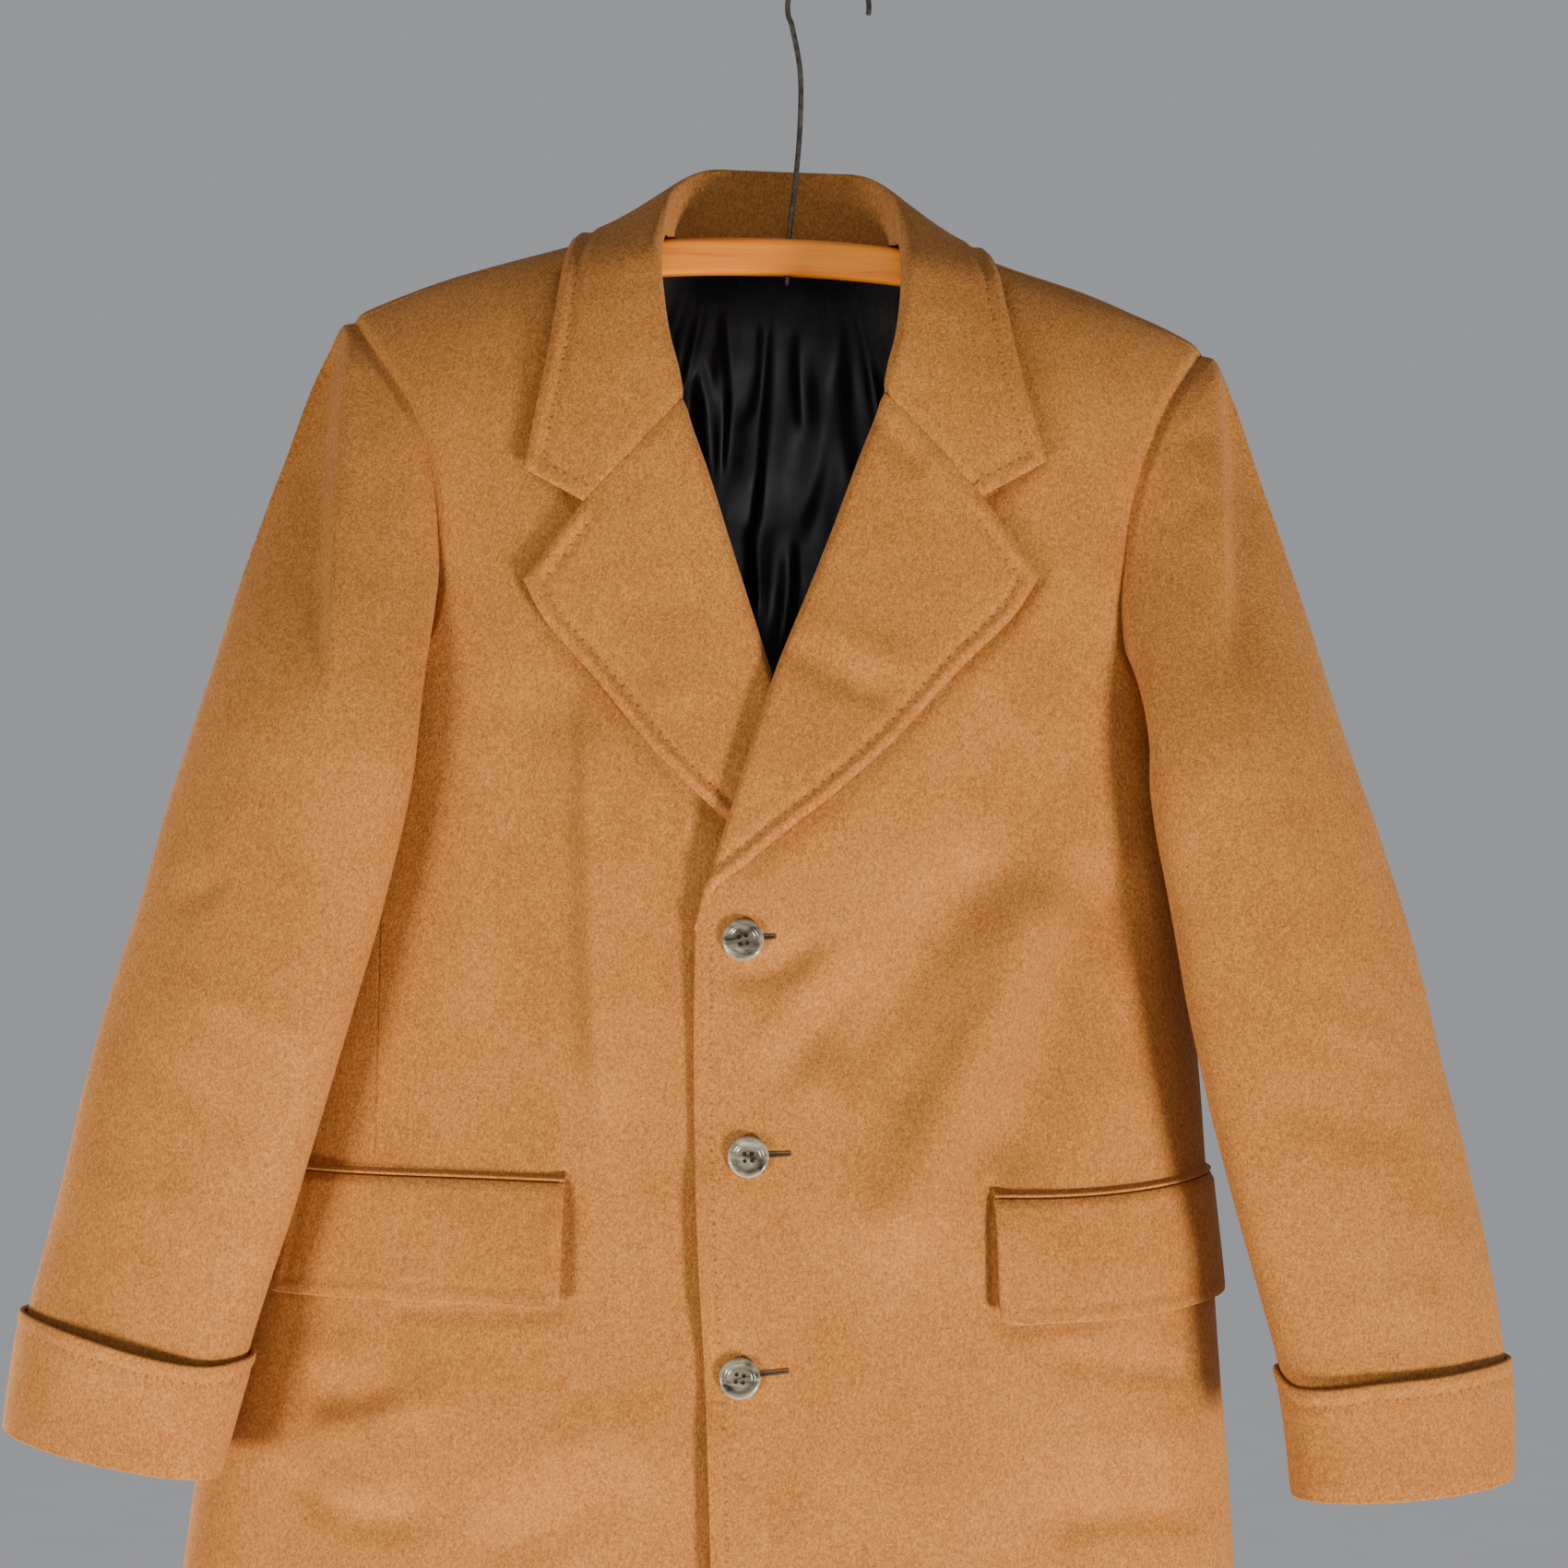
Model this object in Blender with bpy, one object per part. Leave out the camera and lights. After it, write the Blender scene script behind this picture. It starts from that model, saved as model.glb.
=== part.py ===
# Single-breasted overcoat on a wooden hanger.
# World axes: +X towards the wearer's left, -Y towards the front, +Z up.
# The origin is the inside top of the hanger's hook, where a rail carries it.
# Sizes are in millimetres and become metres where a mesh is made.

import math

import bmesh
import bpy
import numpy as np
from mathutils import Vector

MM = 0.001
SEAM = 0.3
LEFT, RIGHT = 1, -1

HOOK_TO_COAT = -22.0  # the hook's crook stands beside the coat's middle line
HEM = -1225.0
UNDERARM = -440.0

WALL = {"body": 2.6, "sleeve": 2.6, "lapel": 3.0, "collar": 3.0, "cuff": 3.0, "flap": 3.0, "welt": 2.0}
LINING = {
    "wall": 1.0, "clear": 2.4, "pleat": 5.0, "pleats": 6, "hem_above": 35.0, "top_half": 150.0, "reach": 78.0,
}

COLOURS = {
    "coat_cloth": ((0.49, 0.245, 0.085, 1.0), 0.9, 0.0),
    "lining_satin": ((0.012, 0.012, 0.014, 1.0), 0.35, 0.0),
    "button_horn": ((0.16, 0.115, 0.075, 1.0), 0.35, 0.0),
    "hanger_wood": ((0.56, 0.33, 0.13, 1.0), 0.4, 0.0),
    "hook_wire": ((0.09, 0.075, 0.065, 1.0), 0.4, 1.0),
}

# Level sections of the body: half width, middle line, depth ahead of and behind the hanger's
# plane, and how far behind that plane the side seam runs.
BODY_COLUMNS = ("height", "half_width", "centre", "front", "back", "side")
BODY_ROWS = (
    (-130, 262, 0, 58, 54, 0),
    (-216, 262, 0, 60, 55, 0),
    (-300, 254, 0, 70, 60, 8),
    (-440, 250, -2, 76, 64, 16),
    (-600, 267, -6, 76, 66, 14),
    (-760, 288, -10, 77, 66, 9),
    (-930, 308, -12, 78, 66, 5),
    (HEM, 325, -14, 76, 66, 3),
)
ROUND = 2.5  # exponent of the flattened oval that each section follows

# Height of the shoulder's crest at a distance out from the middle.
CREST_COLUMNS = ("out", "height")
CREST_ROWS = (
    (0, -132), (40, -140), (72, -151), (122, -168.5),
    (188, -188.7), (220, -201.5), (249, -215.5), (285, -236),
)
ARCH = 100.0  # drop over which the shoulder rounds out to its full depth
SHOULDER_SEAM = 16.0  # degrees ahead of the crest
NECK = {"half_width": 72.0, "back_turn": -42.0, "square": 2.6}

# Armhole edge of each panel: distance out at a height.
ARMHOLE_COLUMNS = ("height", "front", "back")
ARMHOLE_ROWS = (
    (-215, 252, 252), (-222, 247.5, 248), (-240, 234.5, 240), (-261, 221, 232),
    (-280, 211.5, 226), (-300, 205, 221), (-320, 200.5, 217), (-345, 198, 214),
    (-378, 197, 217), (-405, 204, 226), (-425, 222, 237), (UNDERARM, 250, 250),
)

# Roll line of the lapel and the front edge below it, measured from the middle line; the front
# crosses the middle, so values below zero lie on the far side.
ROLL_COLUMNS = ("height", "out")
ROLL_ROWS = (
    (-150, 70), (-185, 69), (-215, 66), (-244, 60), (-272, 53), (-299, 43),
    (-340, 29), (-381, 14.5), (-417, 1.5), (-482, -16), (-543, -30),
)
EDGE_COLUMNS = ("height", "out")
EDGE_ROWS = ((-556, -33), (-612, -32), (-664, -30), (-741, -25), (-818, -18), (-916, -11), (HEM, -7))
RIM_BACK = 5.2  # the roll hides the panel's own edge by this much

# The collar and lapels hang a little askew, most of it at chest height.
ASKEW_COLUMNS = ("height", "across", "up")
ASKEW_ROWS = ((-170, 0, 0), (-290, 6, 5), (-420, 7, 6), (-500, 4, 2), (-570, 0, 0))

# Right front lies under, left front over: height of the left front above the plain section.
LAP_COLUMNS = ("height", "lift")
LAP_ROWS = ((-290, 0), (-390, 6), (-440, 8.8), (-550, 8.8), (-630, 4.6), (-800, 4.2), (HEM, 3.6))
LAP = {"full": 45.0, "none": 120.0, "sink": 1.0}

# The largest soft folds of the fronts, each a ridge (or trough, below zero) along a line.
FOLD_COLUMNS = ("side", "x0", "z0", "x1", "z1", "half_width", "height")
FOLD_ROWS = (
    (RIGHT, -104, -470, -86, -645, 22, 5.0),
    (RIGHT, -135, -450, -125, -650, 26, -4.0),
    (RIGHT, -160, -830, -70, -860, 30, 5.0),
    (RIGHT, -215, -880, -150, -1150, 38, 8.0),
    (RIGHT, -80, -930, -85, -1180, 40, -6.0),
    (LEFT, 156, -557, 92, -709, 26, 7.0),
    (LEFT, 123, -536, 54, -622, 24, -5.0),
    (LEFT, 192, -547, 149, -677, 24, -5.0),
    (LEFT, 110, -880, 95, -1180, 40, 7.0),
    (LEFT, 190, -900, 205, -1180, 40, -6.0),
)
BACK_FOLD_ROWS = (
    (RIGHT, -120, -520, -150, -1150, 42, 7.0),
    (RIGHT, -205, -620, -235, -1170, 34, -6.0),
    (LEFT, 105, -560, 130, -1160, 42, 7.0),
    (LEFT, 200, -600, 225, -1170, 34, -6.0),
)

# Fold-out profile of the roll: distance in from the fold and height above the front.
ROLL_PROFILE_COLUMNS = ("across", "lift")
ROLL_PROFILE_ROWS = ((0.0, 0.8), (1.2, 3.4), (3.6, 5.4), (7.5, 6.2))
ROLL_UNDER_ROWS = ((1.0, -7.0), (0.2, -4.5), (-0.2, -1.8))
LAPEL = {"edge_lift": 4.2, "least_lift": 0.9, "break_share": 0.78, "rows": 15}

# Lapel outline, from the tip down to the break.
LAPEL_EDGE_COLUMNS = ("out", "height")
LAPEL_EDGE_ROWS = (
    (144.5, -365), (130, -389), (100, -421), (70, -456), (40, -485), (12, -509), (-10, -529), (-24, -541),
)
GORGE_HEIGHT = -260.5  # where the gorge seam leaves the roll
NOTCH = (112.0, -320.5)
COLLAR_POINT = (145.7, -294.3)

# Collar across the front: fold line and outer edge.
COLLAR_FRONT_COLUMNS = ("fold_out", "fold_height", "edge_out", "edge_height")
COLLAR_FRONT_ROWS = (
    (59.5, -243, 139, -267),
    (64.5, -224, 133, -240),
    (68.0, -200, 128, -211),
    (69.5, -176, 124, -186),
)
# Collar round the neck: stand at its seam, fold, and where its outer edge lies on the shoulder.
COLLAR_NECK_COLUMNS = ("base", "fold", "edge_out", "edge_turn")
COLLAR_NECK_ROWS = (
    ((68.4, -17.0, -156.5), (69.5, -9.0, -141.5), 120, 10),
    ((61.0, 6.5, -153.5), (63.0, 15.0, -126.0), 116, -14),
    ((45.5, 20.5, -157.0), (47.0, 33.0, -114.0), 99, -33),
    ((25.0, 28.5, -158.5), (25.0, 41.0, -111.5), 57, -46),
    ((0.0, 31.0, -156.5), (0.0, 43.5, -111.0), 0, -53),
)
COLLAR = {"edge_lift": 4.2, "between": 2, "fold_reach": 15.0}
FALL_SHARES = (0.36, 0.655, 0.83, 1.0)
NECK_FALL_SHARES = (0.06, 0.14, 0.25, 0.42, 0.62, 0.82, 1.0)

# Sleeves: inner and outer edge seen from the front, middle line ahead of the hanger, half depth.
SLEEVE_COLUMNS = ("height", "inner", "outer", "middle", "half_depth")
SLEEVE_ROWS = {
    RIGHT: (
        (-440, 190, 322, -57, 33), (-506, 199, 340, -58, 33), (-551, 208, 351, -58, 34),
        (-632, 227, 373, -59, 35), (-720, 250, 391, -60, 36), (-800, 272, 408, -61, 36),
        (-900, 296, 420, -63, 36),
    ),
    LEFT: (
        (-440, 215, 335, -51, 32), (-500, 224, 359, -53, 33), (-548, 235, 376, -54, 34),
        (-616, 250, 396, -55, 35), (-690, 270, 417, -56, 36), (-757, 292, 433, -57, 36),
        (-800, 306, 440, -58, 36), (-900, 322, 445, -60, 36),
    ),
}
SLEEVE_END = {RIGHT: -872.0, LEFT: -864.0}
SLEEVE_TILT = {RIGHT: 0.12, LEFT: 0.07}
SLEEVE = {"first": -476.0, "yaw": 0.25, "cap_rows": 9, "rows": 13}
# How the sleeve leaves the armhole, by angle round it: 0 is the shoulder, 90 the front.
CAP_COLUMNS = ("angle", "along", "out", "lap")
CAP_ROWS = (
    (0, 85, 0, 0.0), (60, 55, 18, 0.0), (110, 15, 40, 0.7), (170, -35, 48, 1.0), (262, -25, 42, 1.0),
    (295, 25, 26, 0.6), (325, 60, 10, 0.0), (360, 85, 0, 0.0),
)
# Share of the armhole's front or back edge that each angle falls on.
UNDERARM_ANGLE = 262.0
ROUND_FRONT = ((0.0, 0), (0.35, 65), (0.55, 115), (0.76, 178), (1.0, UNDERARM_ANGLE))
ROUND_BACK = ((0.0, UNDERARM_ANGLE), (0.5, 308), (1.0, 360))
TOP_SLEEVE = (-62.0, 186.0)
TOP_COLUMNS, UNDER_COLUMNS = 15, 7

CUFF = {"deep": 66.0, "clear": 0.6, "gape": 4.0, "past": 1.6, "columns": 24, "rows": 3}

# Pocket flaps: forward end measured from the middle, rear end as an angle round the section
# (90 is the side), and the height of the top edge at both ends.
FLAP_COLUMNS = ("side", "front_x", "front_slant", "rear_angle", "front_top", "rear_top")
FLAP_ROWS = ((RIGHT, -101.0, 0.0, 59.0, -710.0, -713.0), (LEFT, 141.0, 5.0, 87.0, -710.5, -699.0))
FLAP = {"deep": 70.0, "clear": 0.7, "flare": 2.6, "columns": 9, "rows": 4}
WELT = {"deep": 5.0, "clear": 0.7, "gap": 0.5}

# Buttons on the left front, from the top.
BUTTON_ROWS = ((-6.0, -569.0), (1.5, -691.0), (1.5, -815.0))
BUTTON = {"across": 23.5, "rim": 4.2, "dish": 2.5, "holes": 2.3, "hole_out": 2.9, "clear": 0.3}

# Hanger: a bowed bar of wood under the shoulders and a wire hook through its middle.
BAR = {"half_length": 212.0, "high": 21.5, "thick": 12.0, "round": 3.6, "seat": 0.85}
BAR_NECK_ROWS = ((0, -160.0), (35, -160.9), (70, -163.5), (100, -168.0))
WIRE = {"across": 3.2, "bore": 4.0, "stem_x": 4.0}
HOOK_ROWS = ((4.0, -187.5), (4.0, -160.0), (6.5, -127.0), (8.0, -94.0), (7.0, -62.0), (1.5, -36.0))
CROOK = {"radius": 24.0, "start": 196.0, "end": -8.0, "points": 15}


def curve_through(at, values):
    """A smooth curve through a table's rows, as a function of the first column."""
    order = np.argsort(at)
    knots = np.asarray(at, float)[order]
    values = np.asarray(values, float)[order]
    slopes = np.gradient(values, knots, axis=0)

    def value(where):
        where = np.clip(where, knots[0], knots[-1])
        i = np.clip(np.searchsorted(knots, where) - 1, 0, len(knots) - 2)
        width = knots[i + 1] - knots[i]
        share = (where - knots[i]) / width
        return hermite(values[i], slopes[i] * width, values[i + 1], slopes[i + 1] * width, share)

    return value


def hermite(start, leave, end, arrive, share):
    square, cube = share**2, share**3
    return (
        start * (2 * cube - 3 * square + 1)
        + leave * (cube - 2 * square + share)
        + end * (3 * square - 2 * cube)
        + arrive * (cube - square)
    )


def table_curves(columns, rows):
    at = [row[0] for row in rows]
    return {name: curve_through(at, [row[i] for row in rows]) for i, name in enumerate(columns) if i}


BODY = table_curves(BODY_COLUMNS, BODY_ROWS)
CREST = table_curves(CREST_COLUMNS, CREST_ROWS)["height"]
ARMHOLE = table_curves(ARMHOLE_COLUMNS, ARMHOLE_ROWS)
ROLL = table_curves(ROLL_COLUMNS, ROLL_ROWS)["out"]
EDGE = table_curves(EDGE_COLUMNS, EDGE_ROWS)["out"]
ASKEW = table_curves(ASKEW_COLUMNS, ASKEW_ROWS)
LAP_LIFT = table_curves(LAP_COLUMNS, LAP_ROWS)["lift"]


def ease(value):
    value = np.clip(value, 0, 1)
    return value * value * (3 - 2 * value)


def xyz(x, y, z):
    return np.stack(np.broadcast_arrays(x, y, z), axis=-1).astype(float)


def unit(vectors):
    return vectors / np.linalg.norm(vectors, axis=-1, keepdims=True)


# Shape of the body


def drop_of(turn):
    """Fall below the shoulder's crest at an angle over it, straight down past 90 degrees."""
    turn = np.abs(turn)
    return np.where(turn < 90, ARCH * (1 - np.cos(np.radians(turn))), ARCH * (1 + np.radians(turn - 90)))


def turn_of(drop):
    drop = np.maximum(drop, 0)
    rounded = np.degrees(np.arccos(np.clip(1 - drop / ARCH, -1, 1)))
    return np.where(drop < ARCH, rounded, 90 + np.degrees(drop / ARCH - 1))


def face_y(reach, z, turn):
    side = BODY["side"](z)
    ahead = side - (BODY["front"](z) + side) * reach
    behind = side + (BODY["back"](z) - side) * reach
    return np.where(turn > 0, ahead, behind) * np.sin(np.radians(np.minimum(np.abs(turn), 90)))


def over_shoulder(x, turn):
    """Point of the body at a distance across and an angle over the shoulder, front above zero."""
    z = CREST(np.abs(x)) - drop_of(turn)
    ratio = np.clip(np.abs(x - BODY["centre"](z)) / BODY["half_width"](z), 0, 1)
    return xyz(x, face_y((1 - ratio**ROUND) ** (1 / ROUND), z, turn), z)


def round_body(side, angle, z):
    """Point of the body at an angle round a level section: 0 front, 90 side, 180 back."""
    sine, cosine = np.sin(np.radians(angle)), np.cos(np.radians(angle))
    out = np.sign(sine) * np.abs(sine) ** (2 / ROUND)
    x = BODY["centre"](z) + side * BODY["half_width"](z) * out
    facing = np.where(cosine >= 0, 1, -1)
    turn = facing * turn_of(CREST(np.abs(x)) - z)
    return xyz(x, face_y(np.abs(cosine) ** (2 / ROUND), z, turn), z)


def angle_at(side, x, z, facing):
    """Angle round the section at which the body has this x."""
    ratio = np.clip(side * (x - BODY["centre"](z)) / BODY["half_width"](z), -1, 1)
    angle = np.degrees(np.arcsin(np.sign(ratio) * np.abs(ratio) ** (ROUND / 2)))
    return angle if facing > 0 else 180 - angle


def outward(points, across, down):
    """Unit normals from two directions along a surface, turned away from the body's inside."""
    normals = unit(np.cross(across, down))
    inside = xyz(BODY["centre"](points[..., 2]), 0.0, points[..., 2] - 60.0)
    away = np.sum(normals * (points - inside), axis=-1, keepdims=True)
    return np.where(away < 0, -normals, normals)


def shoulder_normals(x, turn):
    step_x, step_turn = 0.5, 0.4
    across = over_shoulder(x + step_x, turn) - over_shoulder(x - step_x, turn)
    down = over_shoulder(x, turn + step_turn) - over_shoulder(x, turn - step_turn)
    return outward(over_shoulder(x, turn), across, down)


def round_normals(side, angle, z):
    step_angle, step_z = 0.4, 1.0
    across = round_body(side, angle + step_angle, z) - round_body(side, angle - step_angle, z)
    down = round_body(side, angle, z + step_z) - round_body(side, angle, z - step_z)
    return outward(round_body(side, angle, z), across, down)


def folds(rows, side, x, z):
    total = np.zeros(np.broadcast(x, z).shape)
    for row_side, x0, z0, x1, z1, half_width, height in rows:
        if row_side != side:
            continue
        length = (x1 - x0) ** 2 + (z1 - z0) ** 2
        along = np.clip(((x - x0) * (x1 - x0) + (z - z0) * (z1 - z0)) / length, 0, 1)
        away = np.hypot(x - x0 - along * (x1 - x0), z - z0 - along * (z1 - z0))
        total = total + height * np.exp(-((away / half_width) ** 2))
    return total


def front_relief(side, x, z):
    """How far a front lies out of the plain section: its folds, and the lap at the middle."""
    if side == LEFT:
        lap = LAP_LIFT(z) * ease((LAP["none"] - x) / (LAP["none"] - LAP["full"]))
    else:
        lap = -LAP["sink"] * ease((x + LAP["full"]) / LAP["full"])
    return lap + folds(FOLD_ROWS, side, x, z)


def on_front(side, x, z, out):
    """Point on a front, moved out from its cloth."""
    turn = turn_of(CREST(np.abs(x)) - z)
    out = np.asarray(out + front_relief(side, x, z))
    return over_shoulder(x, turn) + shoulder_normals(x, turn) * out[..., None]


def front_normals(x, z):
    return shoulder_normals(x, turn_of(CREST(np.abs(x)) - z))


def askew(side, out, z):
    """Front-view place of a collar, lapel or roll-line point, with the lean of the neck."""
    return side * out + ASKEW["across"](z), z + side * ASKEW["up"](z)


def rim_x(side, z):
    """Where a front panel's forward edge runs: behind the roll above the break, the edge below."""
    roll_x = side * (ROLL(z - side * ASKEW["up"](z)) + RIM_BACK) + ASKEW["across"](z)
    edge_x = side * EDGE(z)
    below = ease((ROLL_ROWS[-1][0] + 6 - z) / 24)
    return roll_x * (1 - below) + edge_x * below


# Meshes


def material(slot):
    found = bpy.data.materials.get(slot)
    if found:
        return found
    colour, roughness, metallic = COLOURS[slot]
    made = bpy.data.materials.new(slot)
    made.use_nodes = True
    shader = made.node_tree.nodes["Principled BSDF"]
    shader.inputs["Base Color"].default_value = colour
    shader.inputs["Roughness"].default_value = roughness
    shader.inputs["Metallic"].default_value = metallic
    made.diffuse_color = colour
    return made


def add_object(name, data, slot):
    made = bpy.data.objects.new(name, data)
    bpy.context.scene.collection.objects.link(made)
    data.materials.append(material(slot))
    made.parent = coat
    return made


def mesh_object(name, shape, slot):
    bmesh.ops.recalc_face_normals(shape, faces=shape.faces)
    data = bpy.data.meshes.new(name)
    shape.to_mesh(data)
    shape.free()
    data.shade_smooth()
    data.set_sharp_from_angle(angle=math.radians(50))
    return add_object(name, data, slot)


def lattice(shape, points, around):
    """Vertices of one layer and the quads between them."""
    rows, columns = points.shape[:2]
    verts = [[shape.verts.new(Vector(point * MM)) for point in row] for row in points]
    for i in range(rows - 1):
        for j in range(columns if around else columns - 1):
            k = (j + 1) % columns
            shape.faces.new((verts[i][j], verts[i][k], verts[i + 1][k], verts[i + 1][j]))
    return verts


def wall(name, outer, inner, slot, around=False):
    """A closed wall of cloth between two layers of points, joined along its edges."""
    shape = bmesh.new()
    near, far = lattice(shape, outer, around), lattice(shape, inner, around)
    rows, columns = outer.shape[:2]
    for i in (0, rows - 1):
        for j in range(columns if around else columns - 1):
            k = (j + 1) % columns
            shape.faces.new((near[i][j], near[i][k], far[i][k], far[i][j]))
    if not around:
        for j in (0, columns - 1):
            for i in range(rows - 1):
                shape.faces.new((near[i][j], near[i + 1][j], far[i + 1][j], far[i][j]))
    return mesh_object(name, shape, slot)


def sheet_normals(points, towards, around=False):
    """Normals of a sheet of points, all on the side that most of them share with a direction."""
    if around:
        joined = np.concatenate([points[:, -1:], points, points[:, :1]], axis=1)
        across = np.gradient(joined, axis=1)[:, 1:-1]
    else:
        across = np.gradient(points, axis=1)
    normals = unit(np.cross(across, np.gradient(points, axis=0)))
    return normals if np.sum(normals * towards) > 0 else -normals


def seam_normals(row, plain):
    """Normals of a sheet's end row that lean neither on to nor off the piece it is sewn to."""
    along = unit(np.gradient(row, axis=0))
    chord = row[-1] - row[len(row) // 2]
    level = unit(chord - plain * np.sum(plain * chord, axis=1, keepdims=True))
    rise = np.sum(along * plain, axis=1, keepdims=True)
    run = np.sum(along * level, axis=1, keepdims=True)
    return unit(plain * run - level * rise)


# Body panels

YOKE_ROWS = {"front": 7, "back": 11}
UNDERARM_LEVEL = 0.156
SKIRT_LEVELS = (
    0.045, 0.085, 0.115, 0.14, UNDERARM_LEVEL, 0.205, 0.255, 0.305, 0.355,
    0.405, 0.455, 0.51, 0.57, 0.64, 0.72, 0.81, 0.9, 1.0,
)
PANEL_COLUMNS = {"front": 14, "back": 11}


def neck_turn(x):
    """Angle over the shoulder at which the back panel starts, at its neckline or shoulder seam."""
    inside = np.clip(1 - (np.abs(x) / NECK["half_width"]) ** NECK["square"], 0, 1) ** (1 / NECK["square"])
    return SHOULDER_SEAM - (SHOULDER_SEAM - NECK["back_turn"]) * inside


def top_turn(face, x):
    if face == "front":
        return np.full(np.shape(x), SHOULDER_SEAM + SEAM / 2)
    return neck_turn(x) - SEAM / 2


def inner_x(side, face, z):
    return rim_x(side, z) if face == "front" else side * SEAM / 2


def armhole_x(side, face, z):
    lean = ASKEW["across"](z) * ease((-225 - z) / 60) if face == "front" else 0.0
    return side * ARMHOLE[face](z) + lean


def yoke_row(side, face, share, columns):
    """Across and turn of one row over the shoulder, from the inner edge to the armhole."""
    full = 90.0 if face == "front" else -90.0
    ends = [side * NECK["half_width"] if face == "front" else side * SEAM / 2, side * 249.0]
    for _ in range(8):
        for i in (0, 1):
            start = float(top_turn(face, np.float64(ends[i])))
            z = CREST(abs(ends[i])) - drop_of(start + (full - start) * share)
            ends[i] = float(inner_x(side, face, z) if i == 0 else armhole_x(side, face, z))
    x = ends[0] + (ends[1] - ends[0]) * np.linspace(0, 1, columns)
    start = top_turn(face, x)
    return x, start + (full - start) * share


def skirt_row(side, face, level, yoke_z):
    """Angle and height of one row below the yoke, from the inner edge to armhole or side seam."""
    facing = 1 if face == "front" else -1
    z = yoke_z + (HEM - yoke_z) * level
    seam = SEAM / 2 / 3.0
    if z[-1] > UNDERARM + 1:
        last = angle_at(side, armhole_x(side, face, z[-1]), z[-1], facing)
    else:
        last = 90.0 - seam * facing
    first = angle_at(side, inner_x(side, face, z[0]), z[0], facing)
    return first + (last - first) * np.linspace(0, 1, len(z)), z


def panel(side, face):
    """Outer points and normals of a body panel, a row at a time from the shoulder to the hem."""
    columns = PANEL_COLUMNS[face]
    points, normals = [], []
    for share in np.linspace(0, 1, YOKE_ROWS[face]) ** 1.15:
        x, turn = yoke_row(side, face, share, columns)
        points.append(over_shoulder(x, turn))
        normals.append(shoulder_normals(x, turn))
    for level in SKIRT_LEVELS:
        angle, z = skirt_row(side, face, level, YOKE_Z[side, face])
        points.append(round_body(side, angle, z))
        normals.append(round_normals(side, angle, z))
    points, normals = np.array(points), np.array(normals)
    x, z = points[..., 0], points[..., 2]
    relief = front_relief(side, x, z) if face == "front" else folds(BACK_FOLD_ROWS, side, x, z)
    return points + normals * relief[..., None], normals


def yoke_bottom(side, face):
    """Heights of the last yoke row, from which the level rows below are spaced."""
    x, turn = yoke_row(side, face, 1.0, PANEL_COLUMNS[face])
    return over_shoulder(x, turn)[:, 2]


def add_body():
    panels = {}
    for side, word in ((LEFT, "left"), (RIGHT, "right")):
        for face in ("front", "back"):
            points, normals = panel(side, face)
            wall(f"{face}_{word}", points, points - normals * WALL["body"], "coat_cloth")
            panels[side, face] = points, normals
    return panels


# Lapels and collar


def roll_point(z):
    return np.array((ROLL(z), z))


def roll_profile(scale, width, edge_lift):
    """Distances in from the fold and heights over the front, for one line across a lapel."""
    across = [row[0] for row in ROLL_PROFILE_ROWS] + [width * share for share in FALL_SHARES]
    lift = [row[1] * scale for row in ROLL_PROFILE_ROWS]
    last = lift[-1]
    lift += [last + (edge_lift - last) * share for share in FALL_SHARES]
    return np.array(across), np.array(lift)


def add_lapel(side, word):
    edge = curve_through(np.linspace(0, 1, len(LAPEL_EDGE_ROWS)), LAPEL_EDGE_ROWS)
    gorge = roll_point(GORGE_HEIGHT)
    rows, first = [], None
    for share in np.linspace(0, 1, LAPEL["rows"]):
        roll = roll_point(GORGE_HEIGHT + (ROLL_ROWS[-1][0] - GORGE_HEIGHT) * share)
        tip = edge(np.float64(share))
        width = np.hypot(*(tip - roll))
        narrow = min(1.0, width / 24)
        scale = 1 + (LAPEL["break_share"] - 1) * share
        edge_lift = max(LAPEL["edge_lift"] * scale, WALL["lapel"] + LAPEL["least_lift"])
        across, lift = roll_profile(scale, width, edge_lift)
        across[:4] *= narrow
        lift = np.maximum(lift, np.where(across > RIM_BACK - 1.0, WALL["lapel"] + LAPEL["least_lift"], -9))
        bend = NOTCH - gorge - (LAPEL_EDGE_ROWS[0] - gorge) * FALL_SHARES[1]
        bow = np.interp(across / width, (0, FALL_SHARES[1], 1), (0, 1, 0)) * (1 - ease(share * 3))
        place = roll + np.outer(across / width, tip - roll) + np.outer(bow, bend)
        place[:, 1] -= SEAM * (1 - share) * 0.6
        x, z = askew(side, place[:, 0], place[:, 1])
        rows.append(on_front(side, x, z, lift))
        first = front_normals(x, z) if first is None else first
    points = np.array(rows)
    normals = sheet_normals(points, np.array((0.0, -1.0, 0.0)))
    normals[0] = seam_normals(points[0], first)
    wall(f"lapel_{word}", points, points - normals * WALL["lapel"], "coat_cloth")


def front_station(side, path, edge_lift):
    """One line across the collar where it lies on the front, and the front's normals under it."""
    lengths = np.array([np.hypot(*(b - a)) for a, b in zip(path, path[1:])])
    marks = np.concatenate(([0.0], np.cumsum(lengths))) / lengths.sum()
    across, lift = roll_profile(1.0, lengths.sum(), edge_lift)
    under = np.array(ROLL_UNDER_ROWS)
    across = np.concatenate((under[:, 0], across)) / lengths.sum()
    lift = np.concatenate((under[:, 1], lift))
    ahead = unit(path[1] - path[0])
    place = np.stack([np.interp(across, marks, path[:, i]) for i in (0, 1)], axis=1)
    place += np.outer(np.minimum(across, 0) * lengths.sum(), ahead)
    x, z = askew(side, place[:, 0], place[:, 1])
    return on_front(side, x, z, lift), front_normals(x, z)


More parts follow.
